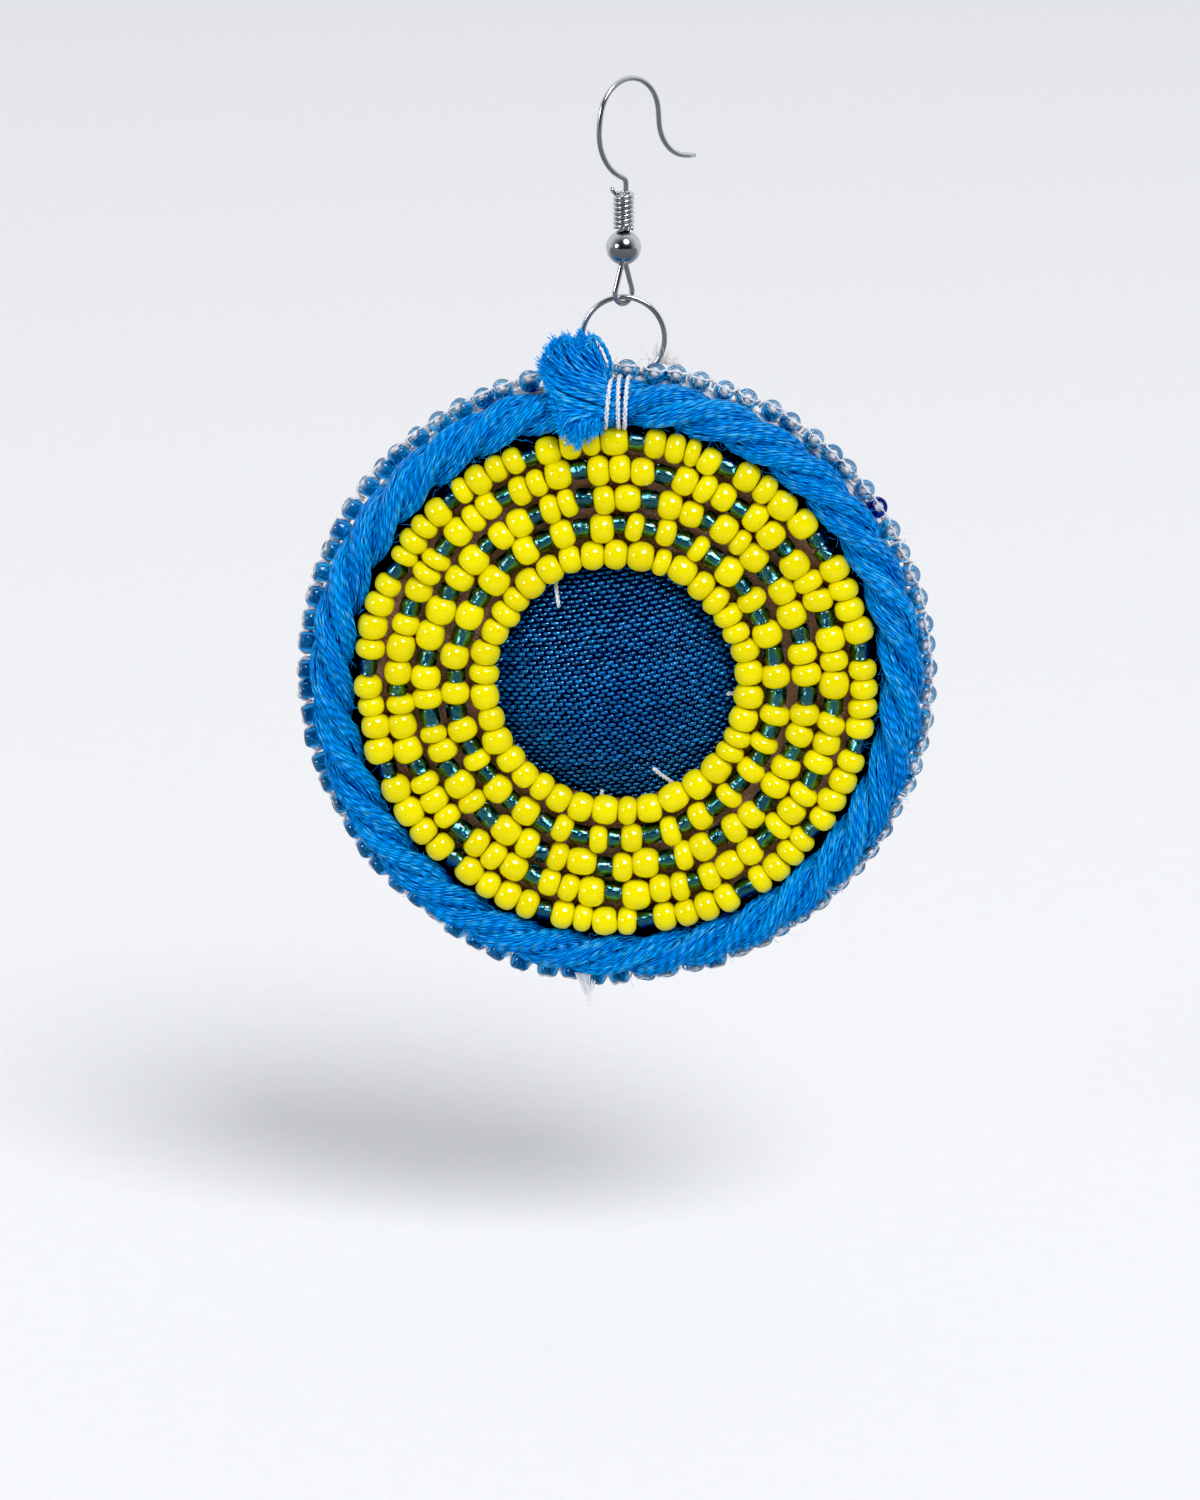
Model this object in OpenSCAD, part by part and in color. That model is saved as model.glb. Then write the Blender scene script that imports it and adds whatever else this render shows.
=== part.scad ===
/* [Ear hook] */
// Thickness of the hook's wire
wire_d = 0.5; // [0.4:0.05:0.55]
// Radius of the crown, the bend that sits over the ear, to the wire's centre line
crown_r = 3.4; // [3.2:0.05:3.8]
// Angle of the crown
crown_turn = 161; // [150:1:166]
// Radius of the flat bend that leads up to the crown
rise_r = 8; // [6:0.5:10]
// Angle of that flat bend
rise_turn = 14; // [8:1:18]
// Radius of the long back bend between the neck and the rise
back_r = 4.4; // [4:0.05:5]
// Angle of the back bend and of the neck bend below it
back_turn = 68; // [60:1:72]
// Radius of the tight neck bend over the coil
neck_r = 0.6; // [0.5:0.05:0.8]
// Straight length of wire between the crown and the tail's curl
tail_drop = 1.1; // [0:0.1:2]
// Radius of the tail's outward curl
tail_r = 3.6; // [3:0.1:4]
// Angle of the tail's curl
tail_turn = 77; // [60:1:85]
// Straight length at the tail's end
tail_end = 1.2; // [0.5:0.1:2]
// Angle of the hook's flat plane to the disc
hook_turn = 45; // [30:1:60]

/* [Stem, coil and ball] */
// Distance between the centre lines of the two wires in the stem
stem_pitch = 0.54; // [0.52:0.01:0.56]
// Height at which the stem turns into the neck, over the jump ring's centre
stem_top = 13.6; // [13.5:0.1:15]
// Centre line radius of the eye at the stem's foot
eye_r = 1.0; // [0.9:0.05:1.2]
// Splay of the eye's two legs
eye_splay = 18.3; // [15:0.1:22]
// Radius of the bends between the stem and the eye's legs
eye_bend_r = 0.6; // [0.4:0.05:0.8]
// Thickness of the coil's wire
coil_wire_d = 0.38; // [0.3:0.02:0.4]
// Centre line radius of the coil
coil_r = 0.77; // [0.77:0.01:0.9]
// Number of turns in the coil
coil_turns = 7.5; // [6.5:1:7.5]
// Height of the coil's first turn over the jump ring's centre
coil_z = 9.66; // [9.66:0.02:9.8]
// Height of the coil from its first to its last turn
coil_h = 3.1; // [2.9:0.05:3.2]
// Lean of the coil's turns, as a height over their radius
coil_lean = 0.14; // [0:0.01:0.2]
// Diameter of the ball
ball_d = 3.1; // [2.8:0.1:3.1]
// Height of the ball's centre over the jump ring's centre
ball_z = 7.98; // [7.9:0.02:8]
// Hole through the ball
ball_bore_d = 1.15; // [1.12:0.01:1.3]

/* [Jump ring] */
// Centre line radius of the jump ring
ring_r = 3.6; // [3.4:0.05:3.8]
// Clearance between the ring and the eye that carries it
ring_gap = 0.07; // [0.06:0.01:0.1]

/* [Disc] */
// Radius over the rim beads
disc_r = 28.55; // [28.4:0.05:28.7]
// Depth of the disc's top edge below the ring's centre
disc_drop = 1.65; // [1.5:0.05:1.8]
// Distance of the disc's centre to the left of the ring's centre
disc_left = 0.5; // [0:0.1:0.6]
// Offset of the bead rows below the centre of the rim
rows_drop = 0.25; // [0.2:0.05:0.35]
// Thickness of the felt
felt_t = 1.8; // [1.6:0.1:2.2]
// Radius of the groove that the jump ring runs in
groove_r = 0.4; // [0.35:0.01:0.45]
// Radial length of a rim bead
rim_bead_l = 1.3; // [1.2:0.05:1.4]
// Diameter of a rim bead
rim_bead_d = 1.75; // [1.6:0.05:1.8]
// Thickness of the bead base
base_t = 1.15; // [1:0.05:1.2]
// Gap between neighbouring pieces
gap = 0.05; // [0.03:0.01:0.06]

/* [Bead rows and button] */
// Radius of the innermost bead row
row_1_r = 11.7; // [11.6:0.05:11.75]
// Distance between bead rows
row_pitch = 2.545; // [2.53:0.005:2.55]
// Thickness of a bead row
row_d = 2.47; // [2.3:0.01:2.48]
// Radius of the fabric button
button_r = 10.2; // [9.5:0.1:10.3]
// Radius of the button's dome
dome_r = 18; // [14:0.5:24]
// Height of the button's straight edge
button_edge = 0.2; // [0.1:0.05:0.5]

/* [Cord and tuft] */
// Thickness of the twisted cord at the bottom of the disc
cord_d = 4.1; // [3.8:0.05:4.1]
// How much thicker the cord is at the top
cord_swell = 0.36; // [0:0.02:0.4]
// Number of full twists of the cord round the disc
cord_twists = 11; // [8:1:12]
// Depth of the furrows between plies, as a share of the cord's radius
cord_furrow = 0.075; // [0.04:0.005:0.1]
// Angle of the cord's first end, clockwise from the top
cord_start = 0; // [0:0.5:2]
// Angle of the cord's last end, clockwise from the top
cord_end = 344; // [338:0.5:345]

/* [Hidden] */
$fn = 64;

// Heights are over the centre of the jump ring; the disc's plane is the plane y = 0 there
eye_foot = ring_r - wire_d - ring_gap;
eye_leg = (eye_r * cos(eye_splay) - stem_pitch / 2 - eye_bend_r * (1 - cos(eye_splay))) / sin(eye_splay);
eye_top = eye_foot + eye_r + (eye_r + eye_bend_r) * sin(eye_splay) + eye_leg * cos(eye_splay);

// The stem's second wire is cut off level with the coil's top turn
stem_cut = coil_z + coil_h;

// Stretches of the hook's wire from that cut to the tail. Columns: straight length, radius of the
// bend after it, angle of that bend to the left
LENGTH = 0;
RADIUS = 1;
TURN = 2;
hook_stretches = [
    [stem_cut - eye_top, eye_bend_r, -eye_splay],
    [eye_leg, eye_r, 180 + 2 * eye_splay],
    [eye_leg, eye_bend_r, -eye_splay],
    [stem_top - eye_top, neck_r, back_turn],
    [0, back_r, -back_turn],
    [0, rise_r, -rise_turn],
    [0, crown_r, -crown_turn],
    [tail_drop, tail_r, tail_turn],
    [tail_end, 0, 0]
];
crown_stretch = 6;

// A place on the wire: distance from the stem, height, heading
hook_start = [-stem_pitch / 2, stem_cut, -90];
function ahead(p, length) = [p[0] + length * cos(p[2]), p[1] + length * sin(p[2]), p[2]];
function bend_centre(p, r, turn) = [p[0] - sign(turn) * r * sin(p[2]), p[1] + sign(turn) * r * cos(p[2])];
function round_bend(p, r, turn, side = 0) = let (
        way = side == 0 ? sign(turn) : side,
        c = bend_centre(p, r, way),
        a = p[2] + turn)
    [c[0] + way * r * sin(a), c[1] - way * r * cos(a), a];
function stretch_end(p, s) = let (m = ahead(p, s[LENGTH]))
    s[RADIUS] > 0 ? round_bend(m, s[RADIUS], s[TURN]) : m;
function stretch_start(i) = i == 0 ? hook_start : stretch_end(stretch_start(i - 1), hook_stretches[i - 1]);

// The seat is the underside of the crown, and the whole part is placed from it
crown_centre = bend_centre(stretch_start(crown_stretch), crown_r, -1);
seat = [crown_centre[0], crown_centre[1] + crown_r - wire_d / 2];
ring_centre = [-seat[0] * cos(hook_turn), -seat[0] * sin(hook_turn), -seat[1]];

// Layers of the disc from the back to the front; the front is towards -y
rim_z = -disc_drop - disc_r;
rows_z = rim_z - rows_drop;
felt_front = -0.6;
felt_r = disc_r - rim_bead_l - 2 * gap;
rim_bead_y = 0.3;
base_back = felt_front - gap;
base_front = base_back - base_t;
base_r = row_1_r + 4 * row_pitch + row_d / 2;
row_y = base_front - gap - row_d / 2;
button_back = base_front - gap;
dome_rise = dome_r - sqrt(dome_r * dome_r - button_r * button_r);

// The cord lies against the felt and against the outermost row
cord_inner_r = base_r + 1.5 * gap;
cord_back = felt_front - gap;
cord_rings = 200;
cord_sides = 14;
cord_plies = 3;
coil_steps = 16;
coil_sides = 6;
coil_from = -20;
coil_stub = 2;
coil_stub_out = 2.4;
coil_stub_up = 4;
hook_step = 8;
hook_sides = 12;

// Locks of the tuft, from the top to the bottom. Columns: root height, then side, height, front and
// thickness halfway out, then the same four at the tip. Sides are to the right of the jump ring's
// centre, heights are over it, and fronts are distances before the disc's plane
ROOT_Z = 0;
MID = 1;
TIP = 5;
tuft_root_x = -1.75;
tuft_root_lean = 0.2;
tuft_root_top = -3.1;
tuft_front = 3.3;
tuft_root_d = 2.3;
tuft_locks = [
    [-3.1, -2.4, -1.6, 3.0, 1.2, -2.9, 0.3, 2.6, 0.6],
    [-3.3, -3.1, -1.3, 3.2, 1.7, -3.9, 0.5, 3.1, 0.9],
    [-3.6, -3.9, -1.9, 3.4, 1.9, -5.0, 0.1, 3.4, 1.0],
    [-3.9, -4.5, -2.6, 3.5, 2.0, -5.9, -0.7, 3.6, 1.1],
    [-4.2, -4.9, -3.3, 3.6, 2.0, -6.8, -1.8, 3.9, 1.0],
    [-4.6, -4.9, -4.0, 3.8, 1.9, -7.2, -2.9, 4.2, 0.9],
    [-4.9, -4.3, -4.8, 4.0, 1.8, -6.0, -4.2, 4.6, 0.9],
    [-5.2, -4.1, -5.7, 4.1, 1.8, -5.5, -6.2, 4.6, 1.0],
    [-5.5, -3.9, -6.3, 4.4, 1.7, -4.8, -7.9, 5.3, 0.9],
    [-5.8, -3.4, -6.7, 4.7, 1.5, -4.0, -8.8, 5.4, 0.6],
    [-6.0, -2.8, -6.7, 4.6, 1.4, -2.9, -8.2, 5.2, 0.7]
];

// Sweeps a closed skin through rings of points and closes both ends
module skin(rings) {
    n = len(rings[0]);
    last = len(rings) - 1;
    points = [for (ring = rings) for (p = ring) p];
    sides = [for (i = [0 : last - 1]) for (j = [0 : n - 1])
        [i * n + j, i * n + (j + 1) % n, (i + 1) * n + (j + 1) % n, (i + 1) * n + j]];
    triangles = [for (q = sides) for (t = [[q[0], q[1], q[2]], [q[0], q[2], q[3]]]) t];
    first_cap = [for (j = [n - 1 : -1 : 0]) j];
    last_cap = [for (j = [0 : n - 1]) last * n + j];
    polyhedron(points, concat([first_cap], triangles, [last_cap]), convexity = 10);
}

// Places a piece that is drawn round the jump ring's centre
module from_ring() {
    translate(ring_centre) children();
}

// Turns what is drawn flat, with y as height, up into the disc's plane
module upright() {
    rotate([90, 0, 0]) children();
}

// A round layer of the disc, between two depths
module layer(r, front, back, z) {
    translate([-disc_left, back, z]) upright() cylinder(r = r, h = back - front);
}

// The places that one stretch adds to the wire: its bend in even steps, or its end
function stretch_places(p, s) = let (m = ahead(p, s[LENGTH]), steps = ceil(abs(s[TURN]) / hook_step))
    s[RADIUS] > 0 ? [for (k = [0 : steps]) round_bend(m, s[RADIUS], s[TURN] * k / steps, sign(s[TURN]))] : [m];

// A ring of points round the wire, across its heading
function wire_ring(p) = [for (j = [0 : hook_sides - 1]) let (b = 360 * j / hook_sides, r = wire_d / 2)
    [p[0] - r * cos(b) * sin(p[2]), p[1] + r * cos(b) * cos(p[2]), r * sin(b)]];

module ear_hook() {
    places = [for (i = [0 : len(hook_stretches) - 1]) each stretch_places(stretch_start(i), hook_stretches[i])];
    apart = [for (i = [1 : len(places) - 1]) if (norm(places[i] - places[i - 1]) > 0.01) places[i]];
    color("silver") from_ring() rotate([0, 0, hook_turn]) upright()
        skin([for (p = concat([hook_start, places[0]], apart)) wire_ring(p)]);
}

// The coil's turns, and past each end a short stub of wire that stands off outwards
function coil_ring(i) = let (
        steps = coil_steps * coil_turns,
        past = max(0, i - steps, -i) / coil_steps,
        a = coil_from + 360 * i / coil_steps,
        h = coil_h * i / steps,
        spread = coil_stub_out * past)
    [for (j = [0 : coil_sides - 1]) let (
            b = 360 * j / coil_sides,
            r = coil_r + spread + coil_wire_d / 2 * cos(b))
        [r * cos(a), r * sin(a),
            coil_z + h + coil_lean * coil_r * cos(a) + max(0, i - steps) / coil_steps * coil_stub_up
                + coil_wire_d / 2 * sin(b)]];

module hook_coil() {
    color("silver") from_ring()
        skin([for (i = [coil_steps * coil_turns + coil_stub : -1 : -1]) coil_ring(i)]);
}

module hook_ball() {
    color("lightgray") from_ring() translate([0, 0, ball_z]) difference() {
        sphere(d = ball_d);
        cylinder(d = ball_bore_d, h = 2 * ball_d, center = true);
    }
}

module jump_ring() {
    color("silver") from_ring() upright()
        rotate_extrude() translate([ring_r, 0]) circle(d = wire_d);
}

// The groove that the jump ring slides round in
module ring_groove() {
    upright() rotate_extrude() translate([ring_r, 0]) circle(r = groove_r);
}

module felt_backing() {
    color("whitesmoke") from_ring() difference() {
        layer(felt_r, felt_front, felt_front + felt_t, rim_z);
        ring_groove();
    }
}

// Round the rim the beads lie with their holes pointing outwards
module edge_bead_string() {
    color("steelblue") from_ring() difference() {
        translate([-disc_left, rim_bead_y, rim_z]) upright() rotate_extrude($fn = 128)
            translate([disc_r - rim_bead_l / 2, 0]) intersection() {
                square([rim_bead_l, rim_bead_d], center = true);
                circle(r = 0.54 * rim_bead_d);
            }
        ring_groove();
    }
}

module bead_base() {
    color("rosybrown") from_ring() layer(base_r, base_front, base_back, rows_z);
}

module fabric_button() {
    color("navy") from_ring() intersection() {
        layer(button_r, button_back - button_edge - dome_rise - 1, button_back, rows_z);
        translate([-disc_left, button_back - button_edge - dome_rise + dome_r, rows_z]) sphere(r = dome_r, $fn = 240);
    }
}

module bead_row(number) {
    from_ring() translate([-disc_left, row_y, rows_z]) upright() rotate_extrude($fn = 128)
        translate([row_1_r + (number - 1) * row_pitch, 0]) circle(d = row_d);
}

// The cord's rings, clockwise from the top, with one furrow between every two plies
function cord_ring(i) = let (
        a = cord_start + (cord_end - cord_start) * i / cord_rings,
        r = cord_d / 2 + cord_swell / 2 * (1 + cos(a)) / 2)
    [for (j = [0 : cord_sides - 1]) let (
            b = 360 * j / cord_sides,
            ply = cos(cord_plies * (b + cord_twists * a)),
            reach = r * (1 - cord_furrow + cord_furrow * ply),
            out = cord_inner_r + r + reach * cos(b))
        [out * sin(a) - disc_left, cord_back - r - reach * sin(b), rows_z + out * cos(a)]];

module yarn_cord() {
    color("dodgerblue") from_ring() skin([for (i = [0 : cord_rings]) cord_ring(i)]);
}

// A round end of a lock, from the column where its side, height, front and thickness start
module lock_end(lock, column) {
    translate([lock[column], -lock[column + 2], lock[column + 1]]) sphere(d = lock[column + 3], $fn = 12);
}

// One lock: thick at its root under the binding thread, then out to its tip
module tuft_lock(lock) {
    root_x = tuft_root_x + tuft_root_lean * (lock[ROOT_Z] - tuft_root_top);
    hull() {
        translate([root_x, -tuft_front, lock[ROOT_Z]]) sphere(d = tuft_root_d, $fn = 12);
        lock_end(lock, MID);
    }
    hull() {
        lock_end(lock, MID);
        lock_end(lock, TIP);
    }
}

module yarn_tuft() {
    color("deepskyblue") from_ring() for (lock = tuft_locks) tuft_lock(lock);
}

ear_hook();
hook_coil();
hook_ball();
jump_ring();
felt_backing();
edge_bead_string();
bead_base();
fabric_button();
color("yellow") bead_row(1);  // bead_row_1
color("yellow") bead_row(2);  // bead_row_2
color("yellow") bead_row(3);  // bead_row_3
color("yellow") bead_row(4);  // bead_row_4
color("yellow") bead_row(5);  // bead_row_5
yarn_cord();
yarn_tuft();
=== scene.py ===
import math

import bpy
import numpy as np
from mathutils import Matrix, Vector


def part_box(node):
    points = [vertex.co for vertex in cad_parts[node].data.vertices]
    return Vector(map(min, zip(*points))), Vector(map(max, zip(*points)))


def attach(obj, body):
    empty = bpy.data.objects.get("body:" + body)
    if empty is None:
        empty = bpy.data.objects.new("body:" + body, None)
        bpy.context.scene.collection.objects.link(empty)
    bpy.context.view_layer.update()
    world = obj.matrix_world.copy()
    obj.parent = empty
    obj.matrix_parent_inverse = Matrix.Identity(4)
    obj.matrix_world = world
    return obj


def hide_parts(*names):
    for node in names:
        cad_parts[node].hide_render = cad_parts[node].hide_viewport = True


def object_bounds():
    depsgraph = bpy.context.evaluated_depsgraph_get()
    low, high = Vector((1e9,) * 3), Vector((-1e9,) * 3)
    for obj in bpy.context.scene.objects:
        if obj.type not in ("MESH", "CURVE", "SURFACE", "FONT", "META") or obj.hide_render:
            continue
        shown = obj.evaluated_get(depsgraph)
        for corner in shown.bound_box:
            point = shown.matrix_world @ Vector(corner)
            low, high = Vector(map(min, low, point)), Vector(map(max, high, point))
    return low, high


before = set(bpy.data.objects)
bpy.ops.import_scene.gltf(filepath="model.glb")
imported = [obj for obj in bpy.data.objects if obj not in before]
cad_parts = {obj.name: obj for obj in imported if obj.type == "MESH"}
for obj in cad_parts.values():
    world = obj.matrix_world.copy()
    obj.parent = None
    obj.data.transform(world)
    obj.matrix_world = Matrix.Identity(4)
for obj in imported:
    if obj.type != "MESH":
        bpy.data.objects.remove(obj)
cad_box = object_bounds()

# Lengths are in millimetres until a piece is made, and angles are in degrees.
# The disc faces -Y, and clock angles run clockwise from its top as seen from the front.
MM = 0.001


def node_box(node):
    """The lowest and highest corners of a solid of the frame, in millimetres."""
    return [np.array(corner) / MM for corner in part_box(node)]


def node_middle(node):
    return sum(node_box(node)) / 2


def node_size(node):
    low, high = node_box(node)
    return high - low


# Places of the frame
RING_CENTRE = node_middle("jump_ring")
RIM_CENTRE = node_middle("edge_bead_string")
ROWS_CENTRE = node_middle("bead_base")
FELT_FRONT, FELT_BACK = (corner[1] for corner in node_box("felt_backing"))
BUTTON_TOP, BUTTON_BACK = (corner[1] for corner in node_box("fabric_button"))

# Hook: its stem, a straight length and the radius and left turn of each bend above it, the places
# and depths of the pliers' marks, its eye, the ring's room in the eye, and the coil
HOOK_TURN = 45.0
WIRE_D = 0.5
WIRE_END_L = 0.12
STEM_PITCH = 0.54
STEM_TOP = 13.6
NECK_R = 0.6
NECK_TURN = 68.0
HOOK_BENDS = ((0, 4.4, -NECK_TURN), (0, 8.0, -14.0), (0, 3.4, -161.0), (1.1, 3.6, 77.0), (1.2, 0, 0))
PLIER_MARKS = ((17.4, 0.05), (18.5, 0.07), (19.9, 0.05))
PLIER_MARK_L = 0.35
EYE_R = 1.0
EYE_SPLAY = 18.3
EYE_BEND_R = 0.6
RING_R = 3.6
RING_GAP = 0.07
COIL_WIRE_D = 0.38
COIL_R = 0.77
COIL_TURNS = 7.5
COIL_Z = 9.66
COIL_H = 3.1
COIL_LEAN = 0.14
COIL_FROM = -20.0
COIL_STUB_TURNS = 2 / 16
COIL_STUB_OUT = 2.4
COIL_STUB_UP = 4.0

# Felt and the beads round its edge, tipped so far on average and so much more at one clock angle
FELT_R = node_size("felt_backing")[0] / 2
RIM_R = node_size("edge_bead_string")[0] / 2
RIM_BEAD_L = 1.6
RIM_BEAD_D = 1.95
RIM_BEAD_HOLE = 1.05
RIM_BEAD_PITCH = 4.55
RIM_BEAD_DEPTH = RIM_CENTRE[1] - 0.75
RIM_BEAD_INSET = 0.46
RIM_BEAD_PALES = (RIM_BEAD_L, 1.36 * RIM_BEAD_L)
RIM_BEAD_TIP = 34.0
RIM_BEAD_MORE_TIP = 26.0
MOST_TIP_AT = 60.0
RIM_SAG = 0.55
RIM_SAG_AT = 190.0
RIM_SAG_SPREAD = 16.0
DARK_RIM_BEAD = 57.0
# The thread in each bead's hole, by the bead's length, and the thread over its end
RIM_PLUG_ENDS = (-0.6, 0.47)
RIM_THREAD_D = 0.24
RIM_THREAD_BEND = 0.6
# Where the thread between two beads lies: degrees from the middle between them, inset and depth
RIM_THREAD_WAY = ((0.0, 1.3, FELT_FRONT + 0.1), (0.1, 0.7, RIM_BEAD_DEPTH - 0.35))
# The thread's loose ends: clock angle of their tip, how many, where they start round it, and sizes
THREAD_TAIL_AT = 184.8
THREAD_TAIL_ENDS = 11
THREAD_TAIL_SPAN = (-1, 2.8)
THREAD_TAIL_L = 1.65
THREAD_TAIL_R = 0.12
THREAD_TAIL_PLACES = 14
# The felt's ragged edge: waves in degrees, and their sizes
FELT_RAGS = ((40, 0.16), (9, 0.07))

# Loose fibres: how many, how long, how curly and how thick
FELT_FLUFF = (1500, 0.9, 0.8, 0.026)
RING_FLUFF = (90, 1.5, 0.7, 0.016)
BACK_FIBRES = (1500, 2.8, 0.5, 0.035)
CORD_FUZZ = (1400, 1.0, 0.4, 0.016)
RING_FLUFF_AT = 8.0
BACK_FIBRE_INSET = 0.08

# Rows of beads: a letter for each bead, y for yellow and t for small teal, and the first one's clock angle
ROWS = {
    "bead_row_1": ("y" * 37, 0.0),
    "bead_row_2": ("ty" * 27, 1.4),
    "bead_row_3": ("tyy" + "tyyy" + "tyy" * 17, 10.1),
    "bead_row_4": ("tyyy" + "tyy" + "tyyy" * 15, 12.6),
    "bead_row_5": ("tyyyy" * 2 + "ttyyyy" + "tyyyy" * 12, 4.7),
}
ROW_Y = node_middle("bead_row_1")[1]
ROW_D = node_size("bead_row_1")[1]
YELLOW_L = 2.0
YELLOW_D = 2.64
YELLOW_HOLE = 0.8
TEAL_L = 1.45
TEAL_D = 1.85
TEAL_HOLE = 0.95
TEAL_SINK = 0.22
LINING_R = TEAL_HOLE / 2 + 0.03
ROW_THREAD_D = 0.32

# Button
BUTTON_R = node_size("fabric_button")[0] / 2
BUTTON_EDGE = 0.2
DOME_RISE = BUTTON_BACK - BUTTON_TOP - BUTTON_EDGE
DOME_R = (BUTTON_R ** 2 + DOME_RISE ** 2) / (2 * DOME_RISE)
WEFT_PITCH = 0.395
WARP_PITCH = 0.427
SKIRT_R = BUTTON_R + 0.55
# Depths from the dome's surface
CORE_SINK = 0.14
WEAVE_SINK = 0.07
STITCH_RISE = 0.16
WEFT_TILT = 10.3
WARP_TILT = 11.0

# Cord: it swells by CORD_SWELL at the top, and both its ends run in under the tuft
CORD_D = 4.1
CORD_SWELL = 0.36
CORD_TOP_R = CORD_D / 2 + CORD_SWELL / 2
CORD_TWISTS = 11
CORD_PLIES = 3
CORD_END = 344.0
CORD_TAIL_END = 354.0
CORD_HEAD = 1.0
CORD_HEAD_END = -3.0
CORD_TAIL_THINS = 0.45
CORD_HEAD_THINS = 0.3
CORD_SQUEEZE = 0.88
CORD_INNER_R = node_size("bead_base")[0] / 2 + 0.075
CORD_BACK = FELT_FRONT - 0.05
PLY_MIDDLE = 0.535
PLY_REACH = 0.465
YARN_THREADS = 24
YARN_THREAD_D = 0.33
YARN_TURNS = 9.0

# Pairs of twisted threads: how far each lies from the middle, pitch, radius and sides
STITCH_PAIR = (0.1, 0.9, 0.115, 7)
TIE_PAIR = (0.11, 1.0, 0.125, 8)
LOOP_PAIR = (0.1, 1.2, 0.13, 7)

# Tie threads over the cord: side of each at the top and at the foot, from the ring's centre
TIES = ((-0.66, -1.6), (-0.17, -0.28), (0.70, 0.16))
TIE_STANDOFF = 0.13

# Stitches on the button's edge: clock angle and radius of each end, from the disc's middle
BUTTON_STITCHES = (
    ((330.0, 10.75), (324.0, 8.5)),
    ((95.4, 10.8), (95.8, 9.9)),
    ((151.5, 10.7), (156.6, 8.3)),
    ((187.0, 10.9), (187.2, 10.1)),
)

# Tuft, measured from the centre of the jump ring. Its yarn leaves the cord's section along the first
# tie thread. Columns, from the top lock to the lowest: side, height, front and thickness at the
# middle, and the same four at the tip
TUFT_ROOT_X = -0.85
TUFT_ROOT_LEAN = 0.19
TUFT_ROOT_TOP = -2.3
TUFT_ROOT_FROM = 84.0
TUFT_ROOT_STEP = 17.6
TUFT_LAYERS = 5
TUFT_PAIRS = 14
TUFT_STRAND_R = 0.21
TUFT_PLACES = 24
TUFT_LOCKS = np.array([
    [-2.0, -1.3, 3.0, 1.2, -2.9, 0.40, 2.6, 0.6],
    [-2.9, -1.2, 3.3, 1.6, -3.9, 0.55, 3.1, 0.9],
    [-3.8, -1.6, 3.5, 1.8, -5.1, 0.60, 3.4, 1.0],
    [-4.5, -2.2, 3.7, 1.9, -6.0, 0.10, 3.6, 1.1],
    [-4.9, -3.0, 3.9, 1.9, -6.8, -1.10, 3.9, 1.0],
    [-5.0, -3.9, 4.1, 1.8, -7.1, -2.50, 4.2, 0.9],
    [-4.6, -4.9, 4.3, 1.7, -6.0, -4.00, 4.6, 0.9],
    [-4.3, -5.7, 4.5, 1.6, -5.3, -6.10, 4.8, 0.9],
    [-4.0, -6.3, 4.6, 1.5, -5.1, -7.20, 5.1, 0.8],
    [-3.2, -6.5, 4.8, 1.4, -3.8, -8.70, 5.3, 0.5],
    [-2.1, -6.3, 4.7, 1.2, -2.2, -7.20, 5.2, 0.6],
])
# Two strands that loop over at the right of the tuft: side, front and height of their bends
TUFT_LOOPS = (
    ((-1.2, 3.4, -3.4), (-0.9, 3.6, -1.9), (-1.5, 3.5, -0.2),
     (-2.4, 3.4, 0.75), (-2.9, 3.2, -0.4), (-2.6, 3.2, -2.4)),
    ((-1.5, 3.8, -3.6), (-1.5, 4.0, -2.0), (-2.1, 3.9, -0.6),
     (-2.8, 3.6, 0.3), (-3.2, 3.4, -0.9), (-2.7, 3.4, -2.8)),
)

# Stage. The ring's centre shows at RING_PIXEL of the photo, where a pixel is PIXEL wide
PIXEL = 0.0875
PHOTO_SIZE = (1200, 1500)
RING_PIXEL = (623.5, 337.4)
CAMERA_TURN = 3.0
CAMERA_RISE = 15.0
LENS = 150.0
SENSOR = 36.0
FLOOR_DROP = 28.0
FLOOR_R = 4000.0
# Metres: where the paper gets clear, and how far in front gloss sees it painted dark
PAPER_ENDS = (1.1, 3.6)
PAPER_DARKENS = (0.25, -0.05)
BLACK_LEVEL = 0.011
# Angles to the right and above, distance in metres, width as an angle, brightness
LAMPS = {
    "key_softbox": (28, 47, 3.0, 26, 12.6),
    "fill_softbox": (-45, 17, 3.0, 16, 10.5),
}


def unit(vectors):
    return vectors / np.linalg.norm(vectors, axis=-1, keepdims=True)


def lengths_along(paths):
    """How far each point lies along its path."""
    steps = np.linalg.norm(np.diff(paths, axis=1), axis=2)
    return np.concatenate([np.zeros((len(paths), 1)), np.cumsum(steps, axis=1)], axis=1)


def wander(chance, strands, along, wave, size):
    """Smooth random offsets for several strands at the places along them, in waves about that long."""
    total = np.zeros((strands, len(along)))
    for octave in (1.0, 2.3, 4.1):
        phase = chance.uniform(0, 2 * math.pi, (strands, 1))
        pace = 2 * math.pi * octave / wave * chance.uniform(0.8, 1.2, (strands, 1))
        total += np.sin(pace * along + phase) / octave
    return size * total


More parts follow.
